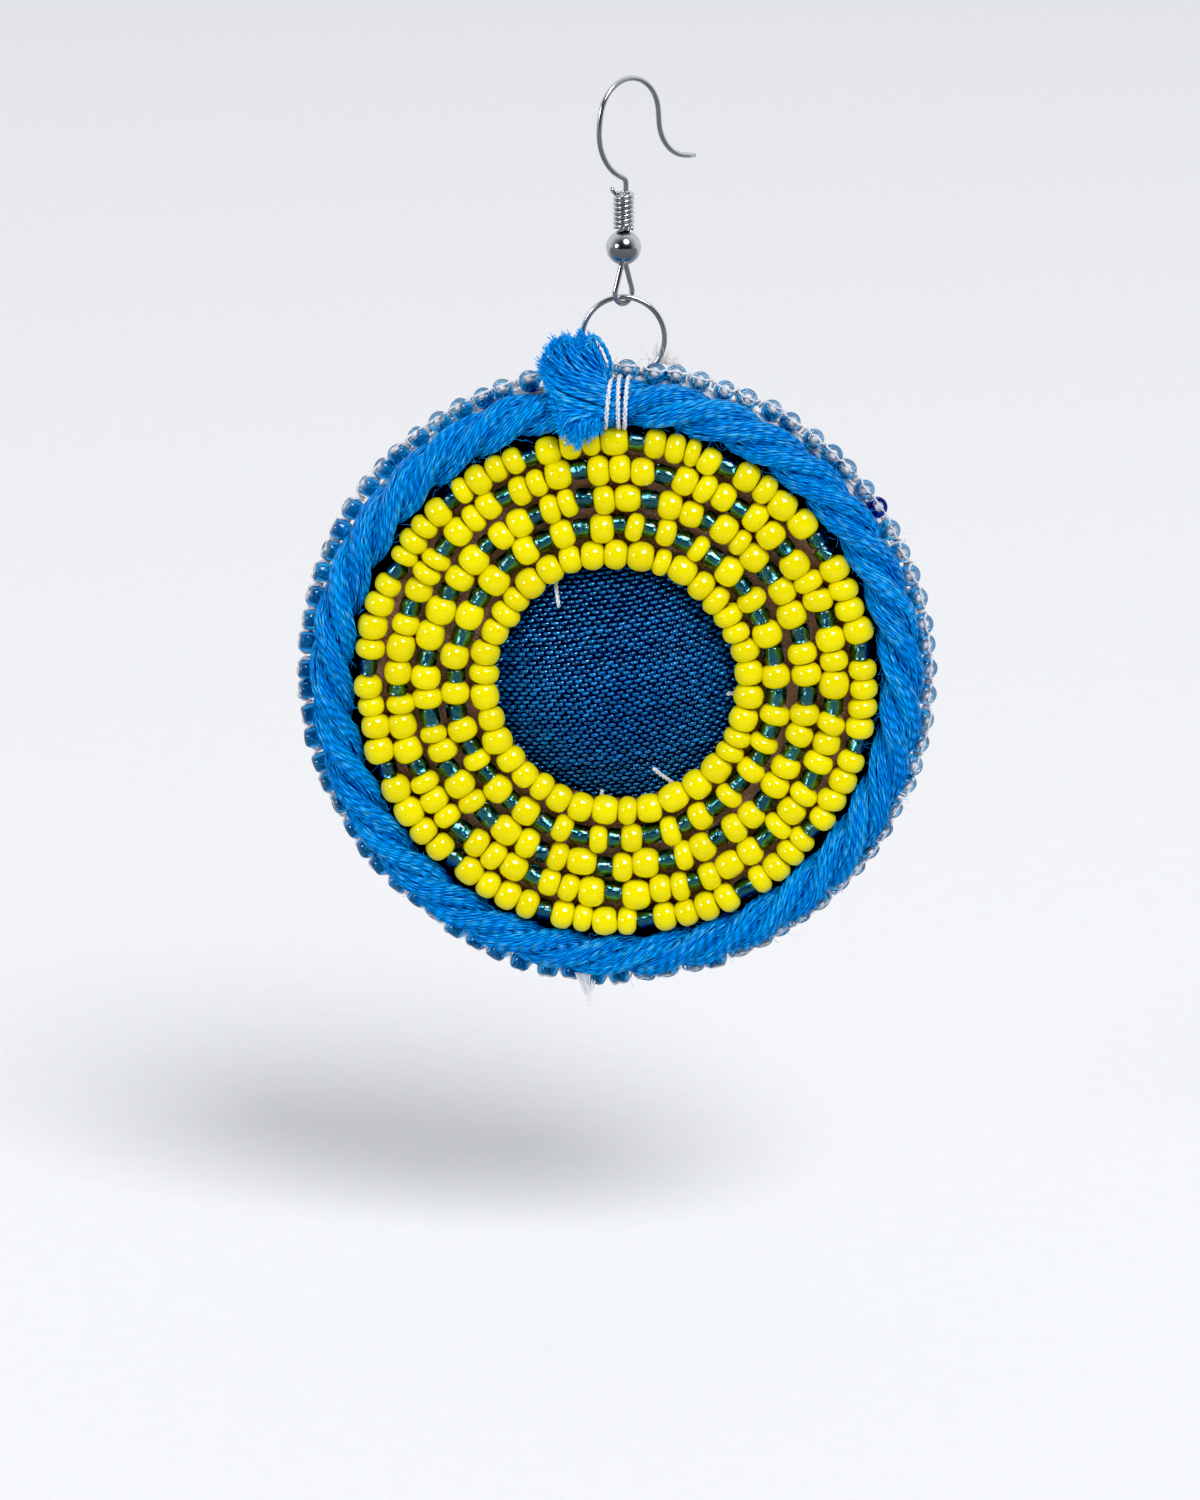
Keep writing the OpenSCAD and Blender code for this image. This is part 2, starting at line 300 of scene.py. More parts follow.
def smooth_path(corners, places):
    """A smooth path through a few corners, evenly sampled."""
    corners = np.asarray(corners, float)
    padded = np.concatenate([[2 * corners[0] - corners[1]], corners, [2 * corners[-1] - corners[-2]]])
    t = np.linspace(0, len(corners) - 1.0001, places)
    k = np.floor(t).astype(int)
    f = (t - k)[:, None]
    a, b, c, d = (padded[k + n] for n in range(4))
    square = (2 * a - 5 * b + 4 * c - d) * f ** 2
    return 0.5 * (2 * b + (c - a) * f + square + (3 * b - a - 3 * c + d) * f ** 3)


def clock_point(centre, angle, radius, depth):
    """Points of the disc at a clock angle and radius about a centre, at a depth along Y."""
    turn = np.radians(angle)
    x = centre[0] + radius * np.sin(turn)
    z = centre[2] + radius * np.cos(turn)
    return np.stack(np.broadcast_arrays(x, depth, z), axis=-1)


def clock_out(angle):
    """The direction away from the disc's centre."""
    turn = np.radians(angle)
    return np.stack([np.sin(turn), np.zeros_like(turn), np.cos(turn)], axis=-1)


def clock_round(angle):
    """The direction clockwise round the disc."""
    turn = np.radians(angle)
    return np.stack([np.cos(turn), np.zeros_like(turn), -np.sin(turn)], axis=-1)


def carried_sides(ahead):
    """A direction across each path at each of its points, carried along without twisting."""
    spare = np.eye(3)[np.argmin(np.abs(ahead[:, 0]), axis=1)]
    sides = [unit(np.cross(ahead[:, 0], spare))]
    for step in range(1, ahead.shape[1]):
        lean = np.sum(sides[-1] * ahead[:, step], axis=1, keepdims=True)
        sides.append(unit(sides[-1] - lean * ahead[:, step]))
    return np.stack(sides, axis=1)


def thread_rings(paths, radius, sides, facing=None, flat=1.0):
    """Rings of points round each path (parts, places, 3), flattened towards the way they face."""
    ahead = unit(np.gradient(paths, axis=1))
    side = carried_sides(ahead) if facing is None else unit(np.cross(ahead, facing))
    up = np.cross(ahead, side)
    turn = 2 * math.pi * np.arange(sides) / sides
    radius = np.broadcast_to(radius, paths.shape[:2])[..., None, None]
    across = side[:, :, None] * np.cos(turn)[:, None]
    upward = up[:, :, None] * np.sin(turn)[:, None] * flat
    return paths[:, :, None] + radius * (across + upward)


def bead_rings(axes, lengths, diameters, hole, corner, sides, lumps):
    """Rings round each drilled bead: over its rounded outside from end to end, then back through its hole."""
    turn = np.radians(np.linspace(0, 180, 11))
    outside = -np.sign(np.cos(turn)) * np.abs(np.cos(turn)) ** corner
    swell = np.abs(np.sin(turn)) ** corner
    along = lengths[:, None] / 2 * np.append(outside, (0.6, 0.0, -0.6))
    reach = (hole + (diameters[:, None] - hole) * np.append(swell, (0.0, 0.0, 0.0))) / 2
    spare = np.eye(3)[np.argmin(np.abs(axes), axis=1)]
    side = unit(np.cross(axes, spare))
    up = np.cross(axes, side)
    angle = 2 * math.pi * np.arange(sides) / sides
    around = side[:, None] * np.cos(angle)[:, None] + up[:, None] * np.sin(angle)[:, None]
    around = around * (1 + 0.018 * np.sin(2 * angle + lumps[:, None]))[..., None]
    return axes[:, None, None] * along[..., None, None] + around[:, None] * reach[..., None, None]


class Work:
    """The points and faces of one piece, gathered strand by strand and bead by bead.

    Each point has a tint, and each face corner a place: turns round the strand, and millimetres
    along it."""

    def __init__(self):
        self.points = []
        self.tints = []
        self.corners = []
        self.places = []
        self.sizes = []
        self.count = 0

    def keep_faces(self, corners, turns, along):
        self.corners.append(corners.reshape(-1))
        self.places.append(np.stack([turns, along], axis=-1).reshape(-1, 2))
        self.sizes.append(np.full(corners.size // corners.shape[-1], corners.shape[-1]))

    def keep_points(self, points, tint):
        first = self.count
        self.points.append(points.reshape(-1, 3))
        self.tints.append(np.broadcast_to(tint, points.shape[:-1]).reshape(-1))
        self.count += len(self.points[-1])
        return first + np.arange(len(self.points[-1])).reshape(points.shape[:-1])

    def tubes(self, rings, along, tint=0.0, looped=False, capped=True):
        """Skins parts of (parts, rings, sides, 3) points; along is (parts, rings), one more if looped."""
        parts, _, sides, _ = rings.shape
        tint = np.reshape(np.broadcast_to(tint, (parts,)), (parts, 1, 1))
        index = self.keep_points(rings, tint)
        here = index if looped else index[:, :-1]
        there = np.roll(index, -1, axis=1) if looped else index[:, 1:]
        corners = np.stack([here, np.roll(here, -1, axis=2), np.roll(there, -1, axis=2), there], axis=-1)
        turn = np.arange(sides) / sides
        turns = np.stack([turn, turn + 1 / sides, turn + 1 / sides, turn], axis=-1)
        first, last = along[:, :-1, None], along[:, 1:, None]
        places = np.stack(np.broadcast_arrays(first, first, last, last), axis=-1)
        places, turns = (np.broadcast_to(values, corners.shape) for values in (places, turns))
        self.keep_faces(corners, turns, places)
        if looped or not capped:
            return self
        for end, order in ((0, -1), (-1, 1)):
            centre = self.keep_points(rings[:, end].mean(axis=1)[:, None], tint[:, 0])
            edge = index[:, end]
            ahead = np.roll(edge, -order, axis=1)
            corners = np.stack([np.broadcast_to(centre, edge.shape), edge, ahead], axis=-1)
            turns = np.broadcast_to(turn[:, None], corners.shape)
            self.keep_faces(corners, turns, np.broadcast_to(along[:, end, None, None], corners.shape))
        return self

    def threads(self, paths, radius, sides, tint=0.0, facing=None, flat=1.0, capped=True):
        rings = thread_rings(paths, radius, sides, facing, flat)
        return self.tubes(rings, lengths_along(paths), tint, capped=capped)

    def twisted_pair(self, path, spread, pitch, radius, sides, tint=0.0):
        """Two strands twisted round one path."""
        ahead = unit(np.gradient(path[None], axis=1))
        side = carried_sides(ahead)
        up = np.cross(ahead, side)
        turn = 2 * math.pi * lengths_along(path[None])[..., None] / pitch
        offset = spread * (side * np.cos(turn) + up * np.sin(turn))
        return self.threads(np.concatenate([path[None] + offset, path[None] - offset]), radius, sides, tint)

    def beads(self, centres, axes, lengths, diameters, hole, corner, tints, lumps, sides=20):
        rings = centres[:, None, None] + bead_rings(axes, lengths, diameters, hole, corner, sides, lumps)
        along = np.linspace(0, 1, rings.shape[1] + 1)[None] * lengths[:, None] * 2
        return self.tubes(rings, along, tints, looped=True)

    def piece(self, name, material, slot, *nodes, body="drop"):
        """Makes the mesh object, in metres, riding on a body and standing for nodes of the frame."""
        mesh = bpy.data.meshes.new(name)
        corners = np.concatenate(self.corners).astype(np.int32)
        sizes = np.concatenate(self.sizes)
        mesh.vertices.add(self.count)
        mesh.vertices.foreach_set("co", (np.concatenate(self.points) * MM).astype(np.float32).reshape(-1))
        mesh.loops.add(len(corners))
        mesh.loops.foreach_set("vertex_index", corners)
        mesh.polygons.add(len(sizes))
        mesh.polygons.foreach_set("loop_start", (np.cumsum(sizes) - sizes).astype(np.int32))
        mesh.polygons.foreach_set("use_smooth", np.ones(len(sizes), bool))
        mesh.update(calc_edges=True)
        places = mesh.uv_layers.new(name="strand").data
        places.foreach_set("uv", np.concatenate(self.places).astype(np.float32).reshape(-1))
        tints = mesh.attributes.new("tint", "FLOAT", "POINT").data
        tints.foreach_set("value", np.concatenate(self.tints).astype(np.float32))
        mesh.materials.append(material)
        made = bpy.data.objects.new(name, mesh)
        bpy.context.collection.objects.link(made)
        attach(made, body)
        if nodes:
            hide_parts(*nodes)


def shade(red, green, blue):
    """A colour from its red, green and blue on a screen, 0 to 255."""
    levels = [level / 255 for level in (red, green, blue)]
    linear = [v / 12.92 if v <= 0.04045 else ((v + 0.055) / 1.055) ** 2.4 for v in levels]
    return (*linear, 1.0)


# Shader effects that several materials share


def put(tree, kind, **settings):
    made = tree.nodes.new(kind)
    for name, value in settings.items():
        setattr(made, name, value)
    return made


def feed(values, sockets):
    """Links each socket among some values to an input of the same tree, or sets a plain value on it."""
    for value, socket in zip(values, sockets):
        if isinstance(value, bpy.types.NodeSocket):
            socket.id_data.links.new(value, socket)
        else:
            socket.default_value = value


def feed_named(node, **values):
    """Feeds the inputs of a node by name, with _ for a space, and gives its outputs."""
    feed(values.values(), [node.inputs[name.replace("_", " ")] for name in values])
    return node.outputs


def beside(values, kind, **settings):
    """A new node in the tree of the first socket among some values."""
    first = next(value for value in values if isinstance(value, bpy.types.NodeSocket))
    return put(first.id_data, kind, **settings)


def reckon(operation, *values, clamped=False):
    made = beside(values, "ShaderNodeMath", operation=operation, use_clamp=clamped)
    feed(values, made.inputs)
    return made.outputs[0]


def slope(value, first, last, low=0.0, high=1.0, kind="SMOOTHSTEP"):
    """Leads from low, where the value is at its first mark, to high at the last one."""
    made = beside([value], "ShaderNodeMapRange", interpolation_type=kind)
    return feed_named(made, Value=value, From_Min=first, From_Max=last, To_Min=low, To_Max=high)[0]


def blend_colours(amount, first, second, kind="MIX"):
    values = (amount, first, second)
    made = beside(values, "ShaderNodeMix", data_type="RGBA", blend_type=kind)
    feed(values, [made.inputs[k] for k in (0, 6, 7)])
    return made.outputs[2]


def grey(level):
    made = beside([level], "ShaderNodeCombineColor")
    feed([level] * 3, made.inputs)
    return made.outputs[0]


def noise(scale, detail, place):
    made = beside([place], "ShaderNodeTexNoise")
    return feed_named(made, Scale=scale, Detail=detail, Vector=place)["Fac"]


def split(place):
    return feed_named(beside([place], "ShaderNodeSeparateXYZ"), Vector=place)


def object_place(tree):
    return put(tree, "ShaderNodeTexCoord").outputs["Object"]


def strand_place(tree):
    """Turns round the strand, and millimetres along it."""
    return split(put(tree, "ShaderNodeUVMap", uv_map="strand").outputs[0])


def own_tint(tree):
    return put(tree, "ShaderNodeAttribute", attribute_name="tint").outputs["Fac"]


def new_group(name, inputs, *outputs):
    """A shader node group with its ends. Inputs are names with values; only Colour outputs are colours."""
    group = bpy.data.node_groups.new(name, "ShaderNodeTree")
    kinds = {True: "NodeSocketColor", False: "NodeSocketFloat"}
    for socket, value in inputs.items():
        kind = kinds[isinstance(value, tuple)]
        group.interface.new_socket(name=socket, in_out="INPUT", socket_type=kind).default_value = value
    for socket in outputs:
        group.interface.new_socket(name=socket, in_out="OUTPUT", socket_type=kinds[socket == "Colour"])
    return group, group.nodes.new("NodeGroupInput").outputs, group.nodes.new("NodeGroupOutput")


def strand_twist_group():
    """The stripes of plies twisted into a strand: their height, and a mask of painted shade that is dark
    between them.
    """
    group, given, result = new_group("strand_twist", {"Plies": 2.0, "Turns per mm": 1.0}, "Height", "Shade")
    place = strand_place(group)
    around = reckon("MULTIPLY", place[0], given["Plies"])
    along = reckon("MULTIPLY", place[1], given["Turns per mm"])
    half_turns = reckon("MULTIPLY", reckon("ADD", around, along), math.pi)
    height = reckon("ABSOLUTE", reckon("SINE", half_turns))
    feed_named(result, Height=height, Shade=reckon("POWER", height, 0.5))
    return group


def dye_group():
    """A dyed or moulded colour that differs from part to part and, in soft patches, over each part."""
    inputs = {
        "Colour": (0.5, 0.5, 0.5, 1.0), "Other colour": (0.4, 0.4, 0.4, 1.0),
        "Patches per m": 1000.0, "Patch strength": 0.3}
    group, given, result = new_group("dye", inputs, "Colour")
    patches = reckon("SUBTRACT", noise(given["Patches per m"], 3.0, object_place(group)), 0.5)
    patches = reckon("MULTIPLY", patches, given["Patch strength"])
    amount = reckon("ADD", own_tint(group), patches, clamped=True)
    feed_named(result, Colour=blend_colours(amount, given["Colour"], given["Other colour"]))
    return group


def fibre_group():
    """The fine fibres of felt and yarn: their height, and a mask of the lighter ones."""
    inputs = {"Fibres per m": 6000.0, "Clumps per m": 900.0}
    group, given, result = new_group("fibres", inputs, "Height", "Mask")
    place = object_place(group)
    fine = noise(given["Fibres per m"], 4.0, place)
    clumps = reckon("MULTIPLY", noise(given["Clumps per m"], 2.0, place), 1.5)
    height = reckon("MULTIPLY", reckon("ADD", fine, clumps), 0.4)
    feed_named(result, Height=height, Mask=fine)
    return group


def sheen_streak_group():
    """Painted sheen: pale streaks along each strand, where the spun thread catches the light."""
    group, given, result = new_group("painted_sheen_streaks", {"Streaks per mm": 0.6}, "Mask")
    place = strand_place(group)
    spot = feed_named(
        put(group, "ShaderNodeCombineXYZ"),
        X=reckon("MULTIPLY", place[0], 2.0),
        Y=reckon("MULTIPLY", place[1], given["Streaks per mm"]),
        Z=reckon("MULTIPLY", own_tint(group), 97.0))
    feed_named(result, Mask=slope(noise(1.0, 1.0, spot[0]), 0.5, 0.7))
    return group


def ring_mask_group():
    """How far out from the disc's middle a point lies, from 0 inside one radius to 1 beyond another."""
    group, given, result = new_group("ring_mask", {"Inside m": 0.021, "Outside m": 0.022}, "Mask")
    place = split(object_place(group))
    aside = reckon("SUBTRACT", place[0], ROWS_CENTRE[0] * MM)
    above = reckon("SUBTRACT", place[2], ROWS_CENTRE[2] * MM)
    squares = reckon("MULTIPLY_ADD", aside, aside, reckon("MULTIPLY", above, above))
    mask = slope(reckon("SQRT", squares), given["Inside m"], given["Outside m"])
    feed_named(result, Mask=mask)
    return group


def handling_group():
    """The smears and hair scratches of a handled surface, as a change of roughness and a height."""
    group, given, result = new_group(
        "handling", {"Roughness": 0.2, "Smears": 0.15, "Smears per m": 500.0}, "Roughness", "Height")
    place = object_place(group)
    smears = reckon("MULTIPLY", noise(given["Smears per m"], 5.0, place), given["Smears"])
    scratched = feed_named(put(group, "ShaderNodeMapping"), Vector=place, Scale=(1.0, 1.0, 0.06))
    feed_named(
        result,
        Roughness=reckon("ADD", smears, given["Roughness"]),
        Height=noise(9000.0, 2.0, scratched[0]))
    return group


STRAND_TWIST = strand_twist_group()
DYE = dye_group()
FIBRES = fibre_group()
SHEEN_STREAKS = sheen_streak_group()
RING_MASK = ring_mask_group()
HANDLING = handling_group()


# Materials. Scales are in waves per metre and depths in metres


def new_material(name, **values):
    """A material with its tree and its shader, which gets plain values by name."""
    material = bpy.data.materials.new(name)
    material.use_nodes = True
    shader = material.node_tree.nodes["Principled BSDF"]
    feed_named(shader, **values)
    return material, material.node_tree, shader


def put_group(tree, group, **values):
    return feed_named(put(tree, "ShaderNodeGroup", node_tree=group), **values)


def dyed(tree, colour, other, patches, strength):
    """A colour that turns to another in patches."""
    return put_group(
        tree, DYE, Colour=colour, Other_colour=other, Patches_per_m=patches, Patch_strength=strength)[0]


def add_bump(shader, height, depth):
    """Raises the surface by a height, with the depth that a height of 1 has."""
    bump = feed_named(beside([height], "ShaderNodeBump"), Distance=depth, Height=height)
    feed_named(shader, Normal=bump["Normal"])


def add_gloss(shader, roughness, smears, smears_per_m):
    """Smeared gloss. It gives the height of its hair scratches."""
    handled = put_group(
        shader.id_data, HANDLING, Roughness=roughness, Smears=smears, Smears_per_m=smears_per_m)
    feed_named(shader, Roughness=handled["Roughness"])
    return handled["Height"]


def steel_material(name, colour, roughness):
    material, _, shader = new_material(name, Metallic=1.0, Base_Color=colour)
    add_bump(shader, add_gloss(shader, roughness, 0.12, 700.0), 0.000004)
    return material


def lining_material():
    """The bright lining of a bead's hole, dimpled so that it glints here and there."""
    material, tree, shader = new_material("silver_lining", Metallic=1.0, Base_Color=(0.94, 0.97, 0.97, 1.0))
    add_gloss(shader, 0.2, 0.1, 1500.0)
    add_bump(shader, noise(900.0, 1.0, object_place(tree)), 0.0003)
    return material


def bead_material(name, colour, other):
    """Opaque glass, fired glossy, with small dark pits."""
    material, tree, shader = new_material(name, Specular_IOR_Level=1.0)
    place = object_place(tree)
    pits = reckon("GREATER_THAN", noise(5200.0, 1.0, place), 0.735)
    pits = reckon("MULTIPLY", pits, 0.5)
    pitted = blend_colours(pits, dyed(tree, colour, other, 900.0, 0.35), shade(120, 100, 20))
    feed_named(shader, Base_Color=pitted)
    add_gloss(shader, 0.03, 0.04, 600.0)
    add_bump(shader, noise(1100.0, 1.0, place), 0.000008)
    return material


def glass_material(name, colour, other, index, clear=1.0, pale_end=None):
    """Coloured glass: how it bends light, how clear it is, and between which places along it, it pales."""
    material, tree, shader = new_material(name, Transmission_Weight=clear, IOR=index)
    colour = dyed(tree, colour, other, 700.0, 0.4)
    if pale_end:
        amount = slope(strand_place(tree)[1], *pale_end)
        amount = reckon("MULTIPLY", amount, reckon("SUBTRACT", 1.0, own_tint(tree)))
        colour = blend_colours(amount, colour, (0.78, 0.93, 1.0, 1.0))
    feed_named(shader, Base_Color=colour)
    add_gloss(shader, 0.02, 0.05, 900.0)
    add_bump(shader, noise(1300.0, 1.0, object_place(tree)), 0.00003)
    return material


def yarn_material(name, colours, plies, turns_per_mm, depth, **values):
    """Spun thread: stripes of its plies with painted shade between them, dye that varies, painted pale
    streaks of sheen and fine fibres.

    The colours are its own, a second one that it turns to, and that of its painted sheen streaks."""
    material, tree, shader = new_material(name, Sheen_Roughness=0.4, **values)
    twist = put_group(tree, STRAND_TWIST, Plies=plies, Turns_per_mm=turns_per_mm)
    fibres = put_group(tree, FIBRES, Fibres_per_m=9000.0, Clumps_per_m=1500.0)
    # Painted sheen: pale streaks along the strands, in the third colour.
    streaks = reckon("MULTIPLY", put_group(tree, SHEEN_STREAKS, Streaks_per_mm=0.7)["Mask"], 0.55)
    streaked = blend_colours(streaks, dyed(tree, colours[0], colours[1], 800.0, 0.7), colours[2])
    # Painted shade: the colour darkens in the grooves between the plies.
    dim = grey(reckon("MULTIPLY_ADD", twist["Shade"], 0.6, 0.4))
    feed_named(shader, Base_Color=blend_colours(1.0, streaked, dim, "MULTIPLY"))
    add_bump(shader, reckon("MULTIPLY_ADD", fibres["Height"], 0.5, twist["Height"]), depth)
    return material


def fluff_material(name, colour, other):
    """Loose fibres, too fine for any pattern but a change of colour."""
    material, tree, shader = new_material(name, Roughness=0.8, Specular_IOR_Level=0.1)
    feed_named(shader, Base_Color=dyed(tree, colour, other, 1500.0, 0.6))
    return material


def felt_material():
    """Pressed white fibres, with painted shade in their hollows, and painted near black on the front behind
    the rows of beads and the cord, as their shadow.
    """
    material, tree, shader = new_material("white_felt", Roughness=0.95, Specular_IOR_Level=0.1)
    fibres = put_group(tree, FIBRES, Fibres_per_m=5000.0, Clumps_per_m=900.0)
    # Painted shade: the white turns grey where the fine fibres are low, in their hollows.
    painted_hollow_shade = slope(fibres["Mask"], 0.55, 0.35, kind="LINEAR")
    white = dyed(tree, shade(238, 238, 240), shade(222, 220, 220), 300.0, 0.8)
    mottled = blend_colours(painted_hollow_shade, white, shade(196, 194, 192))
    # Painted shadow: the felt's front goes near black inside the cord's outer edge.
    front = reckon("LESS_THAN", split(object_place(tree))[1], (FELT_FRONT + 0.3) * MM)
    inside = reckon("SUBTRACT", 1.0, put_group(tree, RING_MASK, Inside_m=0.0252, Outside_m=0.0258)["Mask"])
    covered = reckon("MULTIPLY", front, inside)
    feed_named(shader, Base_Color=blend_colours(covered, mottled, shade(14, 14, 20)))
    add_bump(shader, fibres["Height"], 0.0005)
    return material


def base_cloth_material():
    """The woven cloth that the beads are sewn on, painted black along its edge as the shadow of the cord."""
    material, tree, shader = new_material("base_cloth", Roughness=0.9, Specular_IOR_Level=0.1)
    place = split(object_place(tree))
    threads_per_m = 2 * math.pi / (0.5 * MM)
    rows, files = (reckon("SINE", reckon("MULTIPLY", place[k], threads_per_m)) for k in (0, 2))
    weave = reckon("MULTIPLY", reckon("MULTIPLY", rows, files), 0.5)
    fibres = put_group(tree, FIBRES, Fibres_per_m=7000.0, Clumps_per_m=800.0)
    lighter = reckon("POWER", fibres["Mask"], 4.0)
    brown = blend_colours(lighter, shade(184, 140, 118), shade(250, 226, 214))
    # Painted shadow of the cord: the cloth goes black towards its edge.
    edge = put_group(tree, RING_MASK, Inside_m=0.0214, Outside_m=0.0224)["Mask"]
    feed_named(shader, Base_Color=blend_colours(edge, brown, shade(16, 14, 20)))
    add_bump(shader, reckon("ADD", weave, fibres["Height"]), 0.00012)
    return material


def paper_material():
    """Pale matt paper, clear from below and far away, painted dark for gloss where it is far in front: a
    painted dark reflection.
    """
    material, tree, shader = new_material("pale_paper", Roughness=0.8)
    place = object_place(tree)
    paper = blend_colours(noise(400.0, 3.0, place), shade(233, 234, 236), shade(238, 239, 240))
    front = slope(split(place)[1], *PAPER_DARKENS)
    # Painted reflection: glossy rays see the paper far in front dark grey.
    painted_dark_reflection = reckon("MULTIPLY", front, put(tree, "ShaderNodeLightPath").outputs["Is Glossy Ray"])
    feed_named(shader, Base_Color=blend_colours(painted_dark_reflection, paper, shade(104, 106, 110)))
    add_bump(shader, noise(2500.0, 2.0, place), 0.00003)
    away = feed_named(put(tree, "ShaderNodeVectorMath", operation="LENGTH"), Vector=place)["Value"]
    below = put(tree, "ShaderNodeNewGeometry").outputs["Backfacing"]
    hidden = reckon("MAXIMUM", slope(away, *PAPER_ENDS), below)
    clear = put(tree, "ShaderNodeBsdfTransparent").outputs[0]
    either = put(tree, "ShaderNodeMixShader")
    feed((hidden, shader.outputs[0], clear), either.inputs)
    feed_named(tree.nodes["Material Output"], Surface=either.outputs[0])
    return material


STEEL = steel_material("steel_wire", (0.64, 0.66, 0.66, 1.0), 0.15)
BALL_STEEL = steel_material("polished_ball", (0.56, 0.58, 0.60, 1.0), 0.09)
LEMON = bead_material("lemon_glass", shade(230, 218, 0), shade(216, 201, 0))
TEAL = glass_material("teal_glass", (0.12, 0.46, 0.54, 1.0), (0.04, 0.24, 0.40, 1.0), 1.6)
LINING = lining_material()
SAPPHIRE = glass_material(
    "sapphire_glass", (0.05, 0.46, 0.98, 1.0), (0.01, 0.03, 0.42, 1.0), 1.5, 0.88, RIM_BEAD_PALES)
WHITE_FELT = felt_material()
WHITE_FLUFF = fluff_material("white_fluff", shade(245, 245, 247), shade(232, 224, 220))
WHITE_THREAD = yarn_material(
    "white_thread", (shade(218, 222, 232), shade(194, 197, 208), shade(244, 246, 252)), 2.0, 1.6, 0.00003,
    Roughness=0.5, Specular_IOR_Level=0.5, Specular_Tint=(1.0, 1.0, 1.0, 1.0), Sheen_Weight=0.3)
AZURE = yarn_material(
    "azure_yarn", (shade(0, 160, 252), shade(0, 112, 218), shade(90, 200, 255)), 2.0, 0.9, 0.0002,
    Roughness=0.3, Specular_IOR_Level=0.85, Specular_Tint=(0.18, 0.62, 1.0, 1.0))
# A darker copy of the azure yarn, as painted shade deep between the cord's plies.
SHADED_AZURE = yarn_material(
    "azure_yarn_painted_shade", (shade(0, 62, 132), shade(0, 40, 96), shade(0, 80, 160)), 2.0, 0.9, 0.00016,
    Roughness=0.6, Specular_IOR_Level=0.2, Specular_Tint=(0.3, 0.65, 1.0, 1.0))
AZURE_FLUFF = fluff_material("azure_fluff", shade(50, 182, 255), shade(0, 146, 240))
BASE_CLOTH = base_cloth_material()
WEFT = yarn_material(
    "blue_weft", (shade(0, 82, 152), shade(0, 42, 100), shade(20, 122, 198)), 1.0, 0.6, 0.000003,
    Roughness=0.12, Specular_IOR_Level=1.0, Specular_Tint=(0.28, 0.74, 1.0, 1.0), IOR=1.9)
WARP = yarn_material(
    "navy_warp", (shade(0, 10, 38), shade(0, 1, 14), shade(0, 20, 60)), 1.0, 0.6, 0.00001,
    Roughness=0.5, Specular_IOR_Level=0.15, Specular_Tint=(0.3, 0.6, 1.0, 1.0))


# Hook and ring


def hook_stretches():
    """The hook's wire from its cut end: a straight length, then the radius and the left turn of a bend."""
    splay = math.radians(EYE_SPLAY)
    eye_foot = RING_R - WIRE_D - RING_GAP
    leg = (EYE_R * math.cos(splay) - STEM_PITCH / 2 - EYE_BEND_R * (1 - math.cos(splay))) / math.sin(splay)
    eye_top = eye_foot + EYE_R + (EYE_R + EYE_BEND_R) * math.sin(splay) + leg * math.cos(splay)
    return [
        (COIL_Z + COIL_H - eye_top, EYE_BEND_R, -EYE_SPLAY),
        (leg, EYE_R, 180 + 2 * EYE_SPLAY),
        (leg, EYE_BEND_R, -EYE_SPLAY),
        (STEM_TOP - eye_top, NECK_R, NECK_TURN),
        *HOOK_BENDS,
    ]


def bent_wire(start, heading, stretches, straight_step=0.6, bend_step=3.0):
    """Points along a wire bent in one plane, as distance to the side and height."""
    place = np.array(start, float)
    points = [place]
    for straight, radius, turn in stretches:
        way = np.array([math.cos(math.radians(heading)), math.sin(math.radians(heading))])
        pieces = math.ceil(straight / straight_step)
        points += [place + way * straight * (k + 1) / pieces for k in range(pieces)]
        place = place + way * straight
        if radius > 0:
            sign = math.copysign(1, turn)
            centre = place + sign * radius * np.array([-way[1], way[0]])
            bends = math.ceil(abs(turn) / bend_step)
            for k in range(1, bends + 1):
                at = math.radians(heading + turn * k / bends)
                points.append(centre + sign * radius * np.array([math.sin(at), -math.cos(at)]))
            place = points[-1]
            heading += turn
    return np.array(points)


def make_ear_hook():
    """The bent wire in the hook's plane, with shallow marks of the pliers and rounded ends."""
    flat_path = bent_wire((-STEM_PITCH / 2, COIL_Z + COIL_H), -90, hook_stretches())
    turn = math.radians(HOOK_TURN)
    across = flat_path[:, 0]
    path = np.stack([across * math.cos(turn), across * math.sin(turn), flat_path[:, 1]], axis=1)
    path = RING_CENTRE + path[None]
    along = lengths_along(path)
    radius = np.full(path.shape[:2], WIRE_D / 2)
    for mark, depth in PLIER_MARKS:
        radius *= 1 - depth * np.exp(-((along - mark) / PLIER_MARK_L) ** 2)
    from_end = np.minimum(along, along[0, -1] - along) / WIRE_END_L
    radius *= np.sqrt(np.clip(0.35 + from_end, 0, 1))
    Work().threads(path, radius, 24).piece("ear_hook_wire", STEEL, "steel", "ear_hook", body="hook")


def make_hook_coil():
    turns = np.arange(-COIL_STUB_TURNS / 2, COIL_TURNS + COIL_STUB_TURNS + 0.001, 1 / 48)
    past = np.maximum(0, np.maximum(turns - COIL_TURNS, -turns))
    angle = np.radians(COIL_FROM + 360 * turns)
    radius = COIL_R + COIL_STUB_OUT * past
    height = COIL_Z + COIL_H * turns / COIL_TURNS + COIL_LEAN * COIL_R * np.cos(angle)
    height += COIL_STUB_UP * np.maximum(0, turns - COIL_TURNS)
    path = RING_CENTRE + np.stack([radius * np.cos(angle), radius * np.sin(angle), height], axis=1)
    coil = Work().threads(path[None], COIL_WIRE_D / 2, 12)
    coil.piece("coil_wire", STEEL, "steel", "hook_coil", body="hook")


